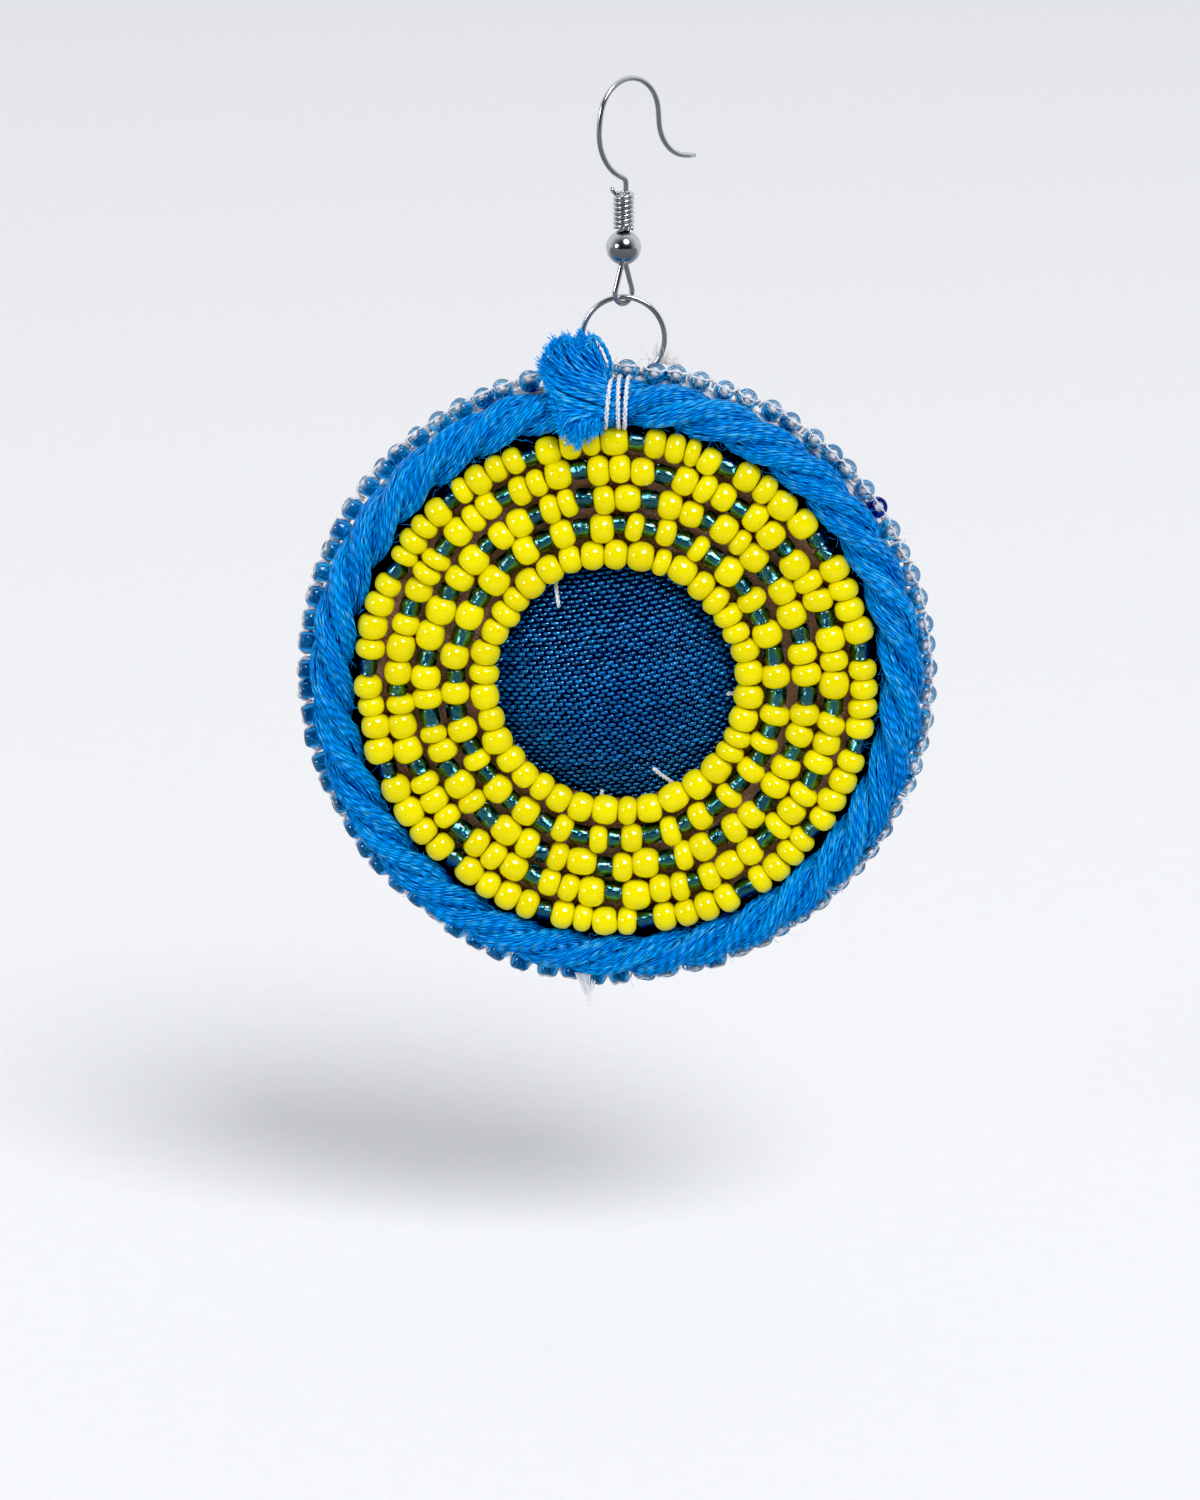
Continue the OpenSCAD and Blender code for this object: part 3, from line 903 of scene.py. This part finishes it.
def finish_frame_solids():
    """The frame's own ball, ring and base cloth stay, with their finishes."""
    for node, material in (("hook_ball", BALL_STEEL), ("jump_ring", STEEL), ("bead_base", BASE_CLOTH)):
        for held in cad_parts[node].material_slots:
            held.material = material


# Felt backing with its edging of beads


def make_felt():
    """A felt disc, its edge rounded and uneven."""
    chance = np.random.default_rng(11)
    flat_rings = 14
    inner_share = 0.985
    edge = np.radians(np.linspace(-90, 90, 9))
    flat = np.linspace(0.02, inner_share, flat_rings)
    reach = np.concatenate([flat, inner_share + (1 - inner_share) * np.cos(edge), flat[::-1]])
    depth = np.concatenate([np.full(flat_rings, -1.0), np.sin(edge), np.full(flat_rings, 1.0)])
    angle = np.arange(256) * 360 / 256
    ragged = sum(wander(chance, 1, angle, wave, size)[0] for wave, size in FELT_RAGS)
    ragged = ragged - ragged.max()
    radius = reach[:, None] * (FELT_R + ragged[None] * (reach[:, None] > 0.9))
    lumps = wander(chance, len(reach), angle, 30, 0.02)
    y = (FELT_FRONT + FELT_BACK) / 2 + depth[:, None] * ((FELT_BACK - FELT_FRONT) / 2 - 0.04 + lumps)
    points = clock_point(RIM_CENTRE, angle[None], radius, y)
    felt = Work().tubes(points[None, :, ::-1], np.linspace(0, 60, len(reach))[None])
    felt.piece("felt_disc", WHITE_FELT, "white_felt", "felt_backing")


def make_rim_beads():
    """Clear blue beads sewn to the felt's edge, tipped so that their holes show from the front."""
    chance = np.random.default_rng(12)
    angles = np.arange(2.0, 360.0, RIM_BEAD_PITCH)
    count = len(angles)
    angles = angles + chance.uniform(-0.5, 0.5, count)
    tip = RIM_BEAD_TIP + RIM_BEAD_MORE_TIP * np.cos(np.radians(angles - MOST_TIP_AT))
    tip = np.radians(tip + chance.normal(0, 7, count))
    lengths = RIM_BEAD_L * chance.uniform(0.88, 1.05, count)
    diameters = RIM_BEAD_D * chance.uniform(0.92, 1.04, count)
    inset = RIM_BEAD_INSET * (lengths * np.cos(tip) + diameters * np.sin(tip))
    inset = inset + np.abs(chance.normal(0, 0.08, count))
    depth = RIM_BEAD_DEPTH + chance.normal(0, 0.10, count)
    sag = RIM_SAG * np.exp(-((angles - RIM_SAG_AT) / RIM_SAG_SPREAD) ** 2)
    centres = clock_point(RIM_CENTRE, angles, RIM_R - inset + sag, depth)
    lean = clock_round(angles) * chance.normal(0, 0.12, (count, 1))
    axes = clock_out(angles) * np.cos(tip)[:, None] - np.array([0, 1, 0]) * np.sin(tip)[:, None]
    axes = unit(axes + lean)
    tints = chance.uniform(0, 0.3, count)
    tints[np.argmin(np.abs(angles - DARK_RIM_BEAD))] = 1.0
    lumps = chance.uniform(0, 6, count)
    beads = Work().beads(centres, axes, lengths, diameters, RIM_BEAD_HOLE, 0.85, tints, lumps)
    beads.piece("rim_beads", SAPPHIRE, "rim_glass", "edge_bead_string")
    make_rim_thread(chance, angles, centres, axes)


def make_rim_thread(chance, angles, centres, axes):
    """Thread that fills each bead's hole, and goes over its end into the felt on both sides of it."""
    count = len(angles)
    share = np.linspace(*RIM_PLUG_ENDS, 9)
    plugs = centres[:, None] + axes[:, None] * (share * RIM_BEAD_L)[:, None]
    girth = RIM_BEAD_HOLE / 2 * 0.95 * np.sqrt(np.clip(1 - ((share + 0.07) / 0.55) ** 6, 0.04, 1))
    work = Work().threads(plugs, girth, 12, chance.uniform(0, 1, count))
    ways = []
    for angle, centre, axis in zip(angles, centres, axes):
        mouth = centre + axis * RIM_BEAD_L * 0.45
        aside = clock_round(angle) * RIM_THREAD_BEND
        before, after = (
            [clock_point(RIM_CENTRE, angle + side * (RIM_BEAD_PITCH / 2 - nearer), RIM_R - inset, depth)
             for nearer, inset, depth in RIM_THREAD_WAY]
            for side in (-1, 1))
        edge = np.array([*before, mouth - aside, mouth, mouth + aside, *after[::-1]])
        ways.append(smooth_path(edge + chance.normal(0, 0.05, edge.shape), 22))
    work.threads(np.array(ways), RIM_THREAD_D / 2, 6, chance.uniform(0, 0.6, count))
    work.piece("rim_thread", WHITE_THREAD, "white_felt")


def hairs(chance, roots, ways, length, curl, places=6):
    """Curling fibres from their roots: paths of (hairs, places, 3)."""
    count = len(roots)
    t = np.linspace(0, 1, places)
    reach = length * chance.uniform(0.4, 1.0, (count, 1, 1))
    bend = unit(chance.normal(0, 1, (count, 1, 3)))
    sway = unit(chance.normal(0, 1, (count, 1, 3)))
    waves = np.sin(t * chance.uniform(3, 7, (count, 1)) + chance.uniform(0, 6, (count, 1)))[..., None]
    t = t[None, :, None]
    curled = curl * (bend * t ** 2 + 0.3 * sway * waves * t)
    return roots[:, None] + reach * (unit(ways)[:, None] * t + curled)


def make_felt_fluff():
    """Loose fibres and thread ends along the felt's edge, and a pinch of fluff where the ring goes in."""
    chance = np.random.default_rng(13)
    count, length, curl, girth = FELT_FLUFF
    angle = chance.uniform(0, 360, count)
    depth = chance.uniform(FELT_FRONT, FELT_FRONT + 0.7, count)
    behind = chance.uniform(0, 1, count) < 0.4
    depth[behind] = chance.uniform(FELT_FRONT, FELT_BACK, behind.sum())
    roots = clock_point(RIM_CENTRE, angle, FELT_R - chance.uniform(-0.1, 0.5, count), depth)
    ways = clock_out(angle) + chance.normal(0, 0.7, (count, 3)) + np.array([0, -0.1, 0])
    fluff = Work().threads(hairs(chance, roots, ways, length, curl), girth, 3, chance.uniform(0, 1, count))
    count, length, curl, girth = RING_FLUFF
    angle = chance.normal(RING_FLUFF_AT, 1.3, count)
    roots = clock_point(RIM_CENTRE, angle, RIM_R - 0.5, chance.uniform(-0.2, 0.8, count))
    ways = clock_out(angle) + chance.normal(0, 0.7, (count, 3))
    fluff.threads(hairs(chance, roots, ways, length, curl, 8), girth, 3, 1.0)
    fluff.piece("felt_fluff", WHITE_FLUFF, "white_felt")


def make_thread_tail():
    """Loose ends of the white thread, gathered to a point below the disc's edge."""
    chance = np.random.default_rng(17)
    count = THREAD_TAIL_ENDS
    angles = THREAD_TAIL_AT + np.linspace(*THREAD_TAIL_SPAN, count)
    first = clock_point(RIM_CENTRE, angles, RIM_R - 0.8, RIM_BEAD_DEPTH - 0.9)
    tip = clock_point(RIM_CENTRE, np.full(count, THREAD_TAIL_AT), RIM_R + THREAD_TAIL_L, RIM_BEAD_DEPTH - 1.1)
    tip = tip + chance.normal(0, 1, (count, 3)) * np.array([0.16, 0.12, 0.3])
    tip[:, 2] = np.maximum(tip[:, 2], RIM_CENTRE[2] - RIM_R - 2.0)
    middle = 0.5 * (first + tip) + chance.normal(0, 0.14, (count, 3)) - np.array([0, 0.15, 0.15])
    paths = np.array([smooth_path(corners, THREAD_TAIL_PLACES) for corners in zip(first, middle, tip)])
    thinning = np.sqrt(np.linspace(1, 0.12, THREAD_TAIL_PLACES))
    girth = THREAD_TAIL_R * thinning * chance.uniform(0.6, 1.25, (count, 1))
    tail = Work().threads(paths, girth, 6, chance.uniform(0, 0.5, count))
    tail.piece("thread_tail", WHITE_FLUFF, "white_felt")


def make_back_fibres():
    """Fibres that lie tangled on the back of the felt."""
    chance = np.random.default_rng(14)
    count, length, curl, girth = BACK_FIBRES
    angle = chance.uniform(0, 360, count)
    radius = FELT_R * np.sqrt(chance.uniform(0, 0.97, count))
    roots = clock_point(RIM_CENTRE, angle, radius, FELT_BACK - BACK_FIBRE_INSET)
    turn = chance.uniform(0, 2 * math.pi, count)
    ways = np.stack([np.cos(turn), chance.uniform(-0.02, 0.12, count), np.sin(turn)], axis=1)
    paths = hairs(chance, roots, ways, length, curl)
    paths[..., 1] = FELT_BACK - 0.06 + (paths[..., 1] - FELT_BACK + BACK_FIBRE_INSET) * 0.12
    fibres = Work().threads(paths, girth, 3, chance.uniform(0, 1, count))
    fibres.piece("felt_back_fibres", WHITE_FLUFF, "white_felt")


# Rows of beads


def row_radius(node):
    return node_size(node)[0] / 2 - ROW_D / 2


def row_places(chance, pattern, start, radius):
    """Clock angles and lengths of a row's beads, which fill the row one against the next."""
    yellow = np.array([kind == "y" for kind in pattern])
    lengths = np.where(yellow, YELLOW_L, TEAL_L) * np.clip(chance.normal(1, 0.14, len(pattern)), 0.72, 1.3)
    shares = lengths / lengths.sum() * 360
    angles = start + np.cumsum(shares) - shares / 2 - shares[0] / 2
    return yellow, angles, np.radians(shares) * radius


def make_bead_row(number, node):
    """The yellow and the teal beads of a row, and the silver lining of the teal ones' holes."""
    chance = np.random.default_rng(20 + number)
    radius = row_radius(node)
    yellow, angles, lengths = row_places(chance, *ROWS[node], radius)
    count = len(angles)
    depth = ROW_Y + np.where(yellow, 0.0, TEAL_SINK) + chance.normal(0, 0.06, count)
    off = np.clip(chance.normal(0, 0.10, count), -0.2, 0.2)
    centres = clock_point(ROWS_CENTRE, angles, radius + off, depth)
    axes = clock_round(angles) + clock_out(angles) * chance.normal(0, 0.11, (count, 1))
    axes = unit(axes + np.array([0, 1, 0]) * chance.normal(0, 0.05, (count, 1)))
    tints = chance.uniform(0, 0.7, count)
    lumps = chance.uniform(0, 6, count)
    diameters = YELLOW_D * np.clip(chance.normal(1.0, 0.04, count), 0.88, 1.05)
    lemon = Work().beads(centres[yellow], axes[yellow], lengths[yellow] * 1.02, diameters[yellow],
                         YELLOW_HOLE, 0.88, tints[yellow], lumps[yellow])
    lemon.piece(f"yellow_beads_row_{number}", LEMON, "row_glass", node)
    if yellow.all():
        return
    centres, axes, lengths = (values[~yellow] for values in (centres, axes, lengths))
    diameters = TEAL_D * np.clip(chance.normal(1, 0.03, count), 0.94, 1.06)[~yellow]
    glass = Work().beads(centres, axes, lengths * 0.97, diameters,
                         TEAL_HOLE, 0.5, tints[~yellow], lumps[~yellow])
    glass.piece(f"teal_beads_row_{number}", TEAL, "row_glass", node)
    halves = axes * lengths[:, None] * 0.42
    paths = np.stack([centres - halves, centres, centres + halves], axis=1)
    silver = Work().threads(paths, LINING_R, 16, capped=False)
    silver.piece(f"silver_linings_row_{number}", LINING, "row_glass", node)


def make_row_threads():
    """The thread that each row is strung on."""
    work = Work()
    for node in ROWS:
        angle = np.arange(0, 360, 2.0)
        path = clock_point(ROWS_CENTRE, angle, row_radius(node), ROW_Y + 0.05)
        rings = thread_rings(path[None], ROW_THREAD_D / 2, 6, np.array([0.0, -1.0, 0.0]))
        work.tubes(rings, np.append(angle, 360.0)[None] * math.radians(row_radius(node)), 0.4, looped=True)
    work.piece("row_threads", WHITE_THREAD, "white_felt")


# Covered button


def dome_depth(radius):
    """Depth of the button's dome at a distance from its middle."""
    return BUTTON_TOP + DOME_R - np.sqrt(DOME_R ** 2 - np.minimum(radius, BUTTON_R) ** 2)


def make_button_core():
    """The covered dome under the weave, with its edge turned under."""
    reach = np.concatenate([np.linspace(0.02, 1, 22) * BUTTON_R, [SKIRT_R, SKIRT_R, 0.2]])
    depth = dome_depth(reach) + CORE_SINK
    depth[-2:] = BUTTON_BACK
    angle = np.arange(96) * 360 / 96
    points = clock_point(ROWS_CENTRE, angle[None], reach[:, None], depth[:, None])
    core = Work().tubes(points[None, :, ::-1], np.linspace(0, 24, len(reach))[None])
    core.piece("button_core", WARP, "button_cloth", "fabric_button")


def weave_path(chance, own, across, number, pitch, crossing, lift):
    """One thread of the weave over the dome: straight on the cloth, up and down over the crossing ones."""
    place = number * pitch
    half = math.sqrt(max(0.0, SKIRT_R ** 2 - place ** 2))
    step = crossing / 3
    along = np.arange(-math.ceil(half / step), math.ceil(half / step) + 1) * step
    drift = 0.05 * np.sin(along * 0.5 + place * 0.35) + 0.025 * np.sin(along * 1.3 - place * 0.9 + 2)
    jitter = wander(chance, 1, along, 3.0, 0.03)[0]
    flat = along[:, None] * own + (place + drift + jitter)[:, None] * across
    radius = np.linalg.norm(flat, axis=1)
    flat *= np.minimum(1, SKIRT_R / radius)[:, None]
    slip = wander(chance, 1, along, 2.5, 0.06)[0]
    over = lift * np.cos(math.pi * (along / crossing + number + slip))
    over = over + wander(chance, 1, along, 2.0, 0.02)[0]
    depth = dome_depth(radius) + WEAVE_SINK - over
    return np.stack([ROWS_CENTRE[0] + flat[:, 0], depth, ROWS_CENTRE[2] + flat[:, 1]], axis=1)


def make_weave():
    """A plain weave of shiny blue weft over dark warp, thread by thread."""
    chance = np.random.default_rng(31)
    weft, warp = math.radians(WEFT_TILT), math.radians(WARP_TILT)
    weft_way = np.array([math.cos(weft), math.sin(weft)])
    warp_way = np.array([-math.sin(warp), math.cos(warp)])
    centre = np.array([ROWS_CENTRE[0], BUTTON_TOP + DOME_R, ROWS_CENTRE[2]])
    # Each set's ways, its pitch and the other's, its lift at a crossing, radius, flatness and sides
    sets = (
        ("button_weft", WEFT, weft_way, warp_way, WEFT_PITCH, WARP_PITCH, 0.13, 0.185, 0.8, 6),
        ("button_warp", WARP, warp_way, weft_way, WARP_PITCH, WEFT_PITCH, -0.04, 0.14, 0.75, 4),
    )
    for name, material, own, across, pitch, crossing, lift, radius, flat, sides in sets:
        work = Work()
        half_count = int(SKIRT_R / pitch)
        for number in range(-half_count, half_count + 1):
            path = weave_path(chance, own, across, number, pitch, crossing, lift)
            girth = radius * chance.uniform(0.9, 1.08)
            girth = girth * (1 + wander(chance, 1, lengths_along(path[None])[0], 2, 0.05))
            work.threads(path[None], girth, sides, chance.uniform(0, 1), unit(path - centre)[None], flat)
        work.piece(name, material, "button_cloth", "fabric_button")


def make_button_stitches():
    """White threads that hold the button, sunk between the first row's beads at one end."""
    work = Work()
    share = np.linspace(-0.12, 1.06, 26)
    sink = 0.9 * np.clip(share - 0.96, 0, 1) * 10 + 0.7 * np.clip(0.12 - share, 0, 1) * 5
    for outer, inner in BUTTON_STITCHES:
        angle, radius = (start + (end - start) * share for start, end in zip(outer, inner))
        path = clock_point(ROWS_CENTRE, angle, radius, dome_depth(radius) - STITCH_RISE + sink)
        work.twisted_pair(path, *STITCH_PAIR)
    work.piece("button_stitches", WHITE_THREAD, "white_felt")


# Yarn cord


def ply_section(samples=400):
    """Round a ply's section by share: the angle from the ply's middle, and the reach from 0 to 1."""
    turn = np.linspace(0, 2 * math.pi, samples + 1)
    out = PLY_MIDDLE + PLY_REACH * np.cos(turn)
    aside = PLY_REACH * np.sin(turn)
    swing = 0.97 * np.degrees(np.arctan2(aside, out))
    reach = np.hypot(out, aside) ** 0.85
    x = reach * np.cos(np.radians(swing))
    y = reach * np.sin(np.radians(swing))
    length = np.concatenate([[0], np.cumsum(np.hypot(np.diff(x), np.diff(y)))])
    return length / length[-1], swing, reach


def cord_radius(angle):
    """The cord's radius, which falls away where its ends run in under the tuft."""
    radius = CORD_D / 2 + CORD_SWELL / 2 * (1 + np.cos(np.radians(angle))) / 2
    tail = np.clip((angle - CORD_END + 2) / (CORD_TAIL_END - CORD_END + 2), 0, 1)
    head = np.clip((angle - CORD_HEAD) / (CORD_HEAD_END - CORD_HEAD), 0, 1)
    return radius * (1 - CORD_TAIL_THINS * tail ** 1.5) * (1 - CORD_HEAD_THINS * head)


def cord_place(angle, swing, reach):
    """A point of the cord: clock angle, angle round its section from outwards to the front, and reach.

    The beads of the edge press the cord's outer side in."""
    radius = cord_radius(angle)
    out = reach * np.cos(np.radians(swing))
    out = CORD_INNER_R + radius + np.where(out > 0, CORD_SQUEEZE * out, out)
    y = CORD_BACK - radius - reach * np.sin(np.radians(swing))
    return clock_point(ROWS_CENTRE, angle, out, y)


def make_cord():
    """Three plies laid up into a cord, each of many spun threads that twist the other way."""
    chance = np.random.default_rng(41)
    share, swings, reaches = ply_section()
    angle = np.linspace(CORD_HEAD_END, CORD_TAIL_END, 300)
    length = math.radians(1) * (CORD_INNER_R + CORD_D / 2) * angle
    round_share = angle / 360
    threads = YARN_THREADS
    for ply in range(CORD_PLIES):
        start = np.arange(threads)[:, None] / threads + chance.normal(0, 0.007, (threads, 1))
        way = (start + YARN_TURNS * round_share + wander(chance, threads, length, 11, 0.008)) % 1.0
        swing = np.interp(way, share, swings) - 360 * CORD_TWISTS * round_share + 120 * ply
        swing = swing + wander(chance, 1, length, 18, 3.0)
        reach = np.interp(way, share, reaches) * (cord_radius(angle) - YARN_THREAD_D / 2 - 0.03)
        reach = reach + wander(chance, threads, length, 4.5, 0.05)
        paths = cord_place(angle, swing, reach)
        strands = Work().threads(paths, YARN_THREAD_D / 2, 5, chance.uniform(0, 1, threads))
        strands.piece(f"cord_ply_{ply + 1}", AZURE, "blue_yarn", "yarn_cord")


def make_cord_core():
    """What shows of the inner threads, deep between the plies, in a darker copy of the yarn: painted shade of
    the furrows.
    """
    angle = np.linspace(CORD_HEAD_END + 0.5, CORD_TAIL_END - 0.5, 150)
    core = Work().threads(cord_place(angle, 0.0, 0.0)[None], cord_radius(angle) * 0.5, 12, 1.0)
    core.piece("cord_core", SHADED_AZURE, "blue_yarn", "yarn_cord")


def make_cord_fuzz():
    """Fine fibres that stand off the yarn."""
    chance = np.random.default_rng(43)
    count, length, curl, girth = CORD_FUZZ
    angle = chance.uniform(CORD_HEAD, CORD_END, count)
    swing = chance.uniform(-40, 170, count)
    roots = cord_place(angle, swing, cord_radius(angle) - 0.2)
    outward = cord_place(angle, swing, cord_radius(angle) + 1.0) - roots
    ways = unit(outward) * 0.4 + clock_round(angle) * chance.normal(0, 1, (count, 1))
    fuzz = Work().threads(hairs(chance, roots, ways, length, curl), girth, 3, chance.uniform(0, 1, count))
    fuzz.piece("cord_fuzz", AZURE_FLUFF, "blue_yarn", "yarn_cord")


def make_ties():
    """White twisted threads that bind the cord's ends."""
    work = Work()
    share = np.linspace(0, 1, 50)
    swing = np.radians(-50 + 265 * share)
    out = (CORD_TOP_R + TIE_STANDOFF) * np.cos(swing)
    out = CORD_INNER_R + CORD_TOP_R + np.where(out > 0, CORD_SQUEEZE * out, out)
    depth = CORD_BACK - CORD_TOP_R - (CORD_TOP_R + TIE_STANDOFF) * np.sin(swing)
    for top, foot in TIES:
        side = top + (foot - top) * share + RING_CENTRE[0] - ROWS_CENTRE[0]
        path = clock_point(ROWS_CENTRE, np.degrees(np.arcsin(side / out)), out, depth)
        work.twisted_pair(path, *TIE_PAIR)
    work.piece("tie_threads", WHITE_THREAD, "white_felt")


# Tuft


def tuft_paths(chance, locks, layers):
    """Strands from under the ties to the tuft's tip, by lock number and layer, from 0 at the back to 1."""
    numbers = np.arange(len(TUFT_LOCKS))
    row = np.array([[np.interp(lock, numbers, column) for column in TUFT_LOCKS.T] for lock in locks])
    depth = layers - 0.5
    section = clock_point(ROWS_CENTRE, 0.0, CORD_INNER_R + CORD_TOP_R, CORD_BACK - CORD_TOP_R) - RING_CENTRE
    swing = np.radians(TUFT_ROOT_FROM - TUFT_ROOT_STEP * locks)
    reach = CORD_TOP_R * (0.6 + 0.34 * layers)
    root_y = section[1] - reach * np.cos(swing)
    root_z = reach * np.sin(swing)
    root_z = section[2] + np.where(root_z > 0, CORD_SQUEEZE * root_z, root_z)
    root_x = TUFT_ROOT_X + TUFT_ROOT_LEAN * (root_z - TUFT_ROOT_TOP)
    root = np.stack([root_x, root_y, root_z], axis=1)
    inner = np.stack([root_x + 1.1, root_y, root_z], axis=1)
    middle = np.stack([row[:, 0], -row[:, 2] - depth * row[:, 3] * 0.85, row[:, 1]], axis=1)
    tip = np.stack([row[:, 4], -row[:, 6] - depth * row[:, 7], row[:, 5]], axis=1)
    middle = middle + chance.normal(0, 0.12, middle.shape)
    tip = tip + chance.normal(0, 0.18, tip.shape)
    paths = [smooth_path(corners, TUFT_PLACES) for corners in zip(inner, root, middle, tip)]
    return RING_CENTRE + np.array(paths)


def tuft_fray(chance, paths, each=22):
    """Fibres that leave each strand along its outer half."""
    count = len(paths) * each
    owner = np.repeat(np.arange(len(paths)), each)
    at = (TUFT_PLACES * chance.uniform(0.62, 1.0, count) ** 0.7).astype(int)
    at = np.minimum(TUFT_PLACES - 2, at)
    roots = paths[owner, at] + chance.normal(0, 0.12, (count, 3))
    ways = unit(paths[owner, at + 1] - paths[owner, at]) + chance.normal(0, 0.28, (count, 3))
    return hairs(chance, roots, ways, 0.72, 0.32, 5)


def make_tuft():
    """The yarn's cut end, fanned out to the left in locks, with its strands fraying into fibres."""
    chance = np.random.default_rng(51)
    last = len(TUFT_LOCKS) - 1
    locks = np.repeat(np.linspace(0, last, TUFT_PAIRS) + chance.normal(0, 0.14, TUFT_PAIRS), 2)
    girth = TUFT_STRAND_R * np.sqrt(np.clip((1.04 - np.linspace(0, 1, TUFT_PLACES)) / 0.3, 0, 1))
    strands, fray = Work(), Work()
    for layer in np.linspace(0, 1, TUFT_LAYERS):
        own = np.tile((-0.17, 0.17), TUFT_PAIRS) + chance.normal(0, 0.05, 2 * TUFT_PAIRS)
        own = np.clip(locks + own, 0, last)
        depth = layer + chance.normal(0, 0.07, 2 * TUFT_PAIRS)
        paths = tuft_paths(chance, own, depth)
        strands.threads(paths, girth, 6, chance.uniform(0, 1, len(paths)))
        fibres = tuft_fray(chance, paths)
        fray.threads(fibres, 0.036, 3, chance.uniform(0, 1, len(fibres)))
    strands.piece("tuft_strands", AZURE, "blue_yarn", "yarn_tuft")
    fray.piece("tuft_fray", AZURE_FLUFF, "blue_yarn", "yarn_tuft")


def make_tuft_loops():
    work = Work()
    for corners in TUFT_LOOPS:
        path = smooth_path(np.array(corners) * np.array([1, -1, 1]), 60) + RING_CENTRE
        work.twisted_pair(path, *LOOP_PAIR, tint=0.2)
    work.piece("tuft_loops", AZURE, "blue_yarn", "yarn_tuft")


# Stage, light and camera


def direction(turn, rise):
    """The way from the disc to something in front of it, by its angle to the right and above."""
    turn, rise = math.radians(turn), math.radians(rise)
    return Vector((math.sin(turn) * math.cos(rise), -math.cos(turn) * math.cos(rise), math.sin(rise)))


def make_camera():
    """A long lens at the photo's angle, so far off that a pixel of the photo is PIXEL wide at the ring."""
    turn = math.radians(CAMERA_TURN)
    right = Vector((math.cos(turn), math.sin(turn), 0))
    back = direction(CAMERA_TURN, CAMERA_RISE)
    up = back.cross(right)
    aside = (RING_PIXEL[0] - PHOTO_SIZE[0] / 2) * PIXEL
    above = (PHOTO_SIZE[1] / 2 - RING_PIXEL[1]) * PIXEL
    target = Vector(RING_CENTRE) - right * aside - up * above
    data = bpy.data.cameras.new("camera")
    data.lens = LENS
    data.sensor_width = SENSOR
    data.clip_start = 0.01
    data.clip_end = 20
    camera = bpy.data.objects.new("camera", data)
    bpy.context.collection.objects.link(camera)
    place = (target + back * LENS / SENSOR * PHOTO_SIZE[1] * PIXEL) * MM
    camera.matrix_world = Matrix.Translation(place) @ Matrix((right, up, back)).transposed().to_4x4()
    bpy.context.scene.camera = camera


def make_floor():
    bpy.ops.mesh.primitive_circle_add(vertices=128, radius=FLOOR_R * MM, fill_type="NGON")
    floor = bpy.context.object
    floor.name = "floor"
    floor.location = (0, 0, cad_box[0][2] - FLOOR_DROP * MM)
    floor.data.materials.append(paper_material())


def make_lamp(name, azimuth, elevation, away, spread, strength):
    """A round softbox aimed at the disc."""
    way = direction(azimuth, elevation)
    data = bpy.data.lights.new(name, "AREA")
    data.shape = "DISK"
    data.size = 2 * away * math.tan(math.radians(spread / 2))
    data.energy = strength * math.pi * math.pi * (data.size / 2) ** 2
    lamp = bpy.data.objects.new(name, data)
    bpy.context.collection.objects.link(lamp)
    lamp.location = Vector(ROWS_CENTRE) * MM + way * away
    lamp.rotation_euler = way.to_track_quat("Z", "Y").to_euler()
    lamp.visible_camera = False


def make_world():
    """Pale studio air. Gloss sees it dim behind the camera, as in a dark room with a lit sweep."""
    world = bpy.data.worlds.new("studio")
    world.use_nodes = True
    bpy.context.scene.world = world
    tree = world.node_tree
    ahead = split(put(tree, "ShaderNodeTexCoord").outputs["Generated"])[1]
    mirrored = grey(slope(ahead, -0.8, 0.4, 0.02, 0.9))
    rays = put(tree, "ShaderNodeLightPath").outputs
    lit = blend_colours(rays["Is Glossy Ray"], (0.60, 0.61, 0.64, 1.0), mirrored)
    seen = blend_colours(rays["Is Camera Ray"], lit, shade(238, 240, 243))
    feed_named(tree.nodes["Background"], Color=seen, Strength=1.0)


def make_look():
    """The photo's blacks are deep: the darkest tones go to nothing."""
    look = bpy.context.scene.view_settings
    look.view_transform = "Standard"
    look.use_curve_mapping = True
    look.curve_mapping.black_level = [BLACK_LEVEL] * 3
    look.curve_mapping.update()


make_camera()
make_floor()
for name, values in LAMPS.items():
    make_lamp(name, *values)
make_world()
make_look()
make_ear_hook()
make_hook_coil()
finish_frame_solids()
make_felt()
make_rim_beads()
make_felt_fluff()
make_thread_tail()
make_back_fibres()
for number, node in enumerate(ROWS, start=1):
    make_bead_row(number, node)
make_row_threads()
make_button_core()
make_weave()
make_button_stitches()
make_cord()
make_cord_core()
make_cord_fuzz()
make_ties()
make_tuft()
make_tuft_loops()
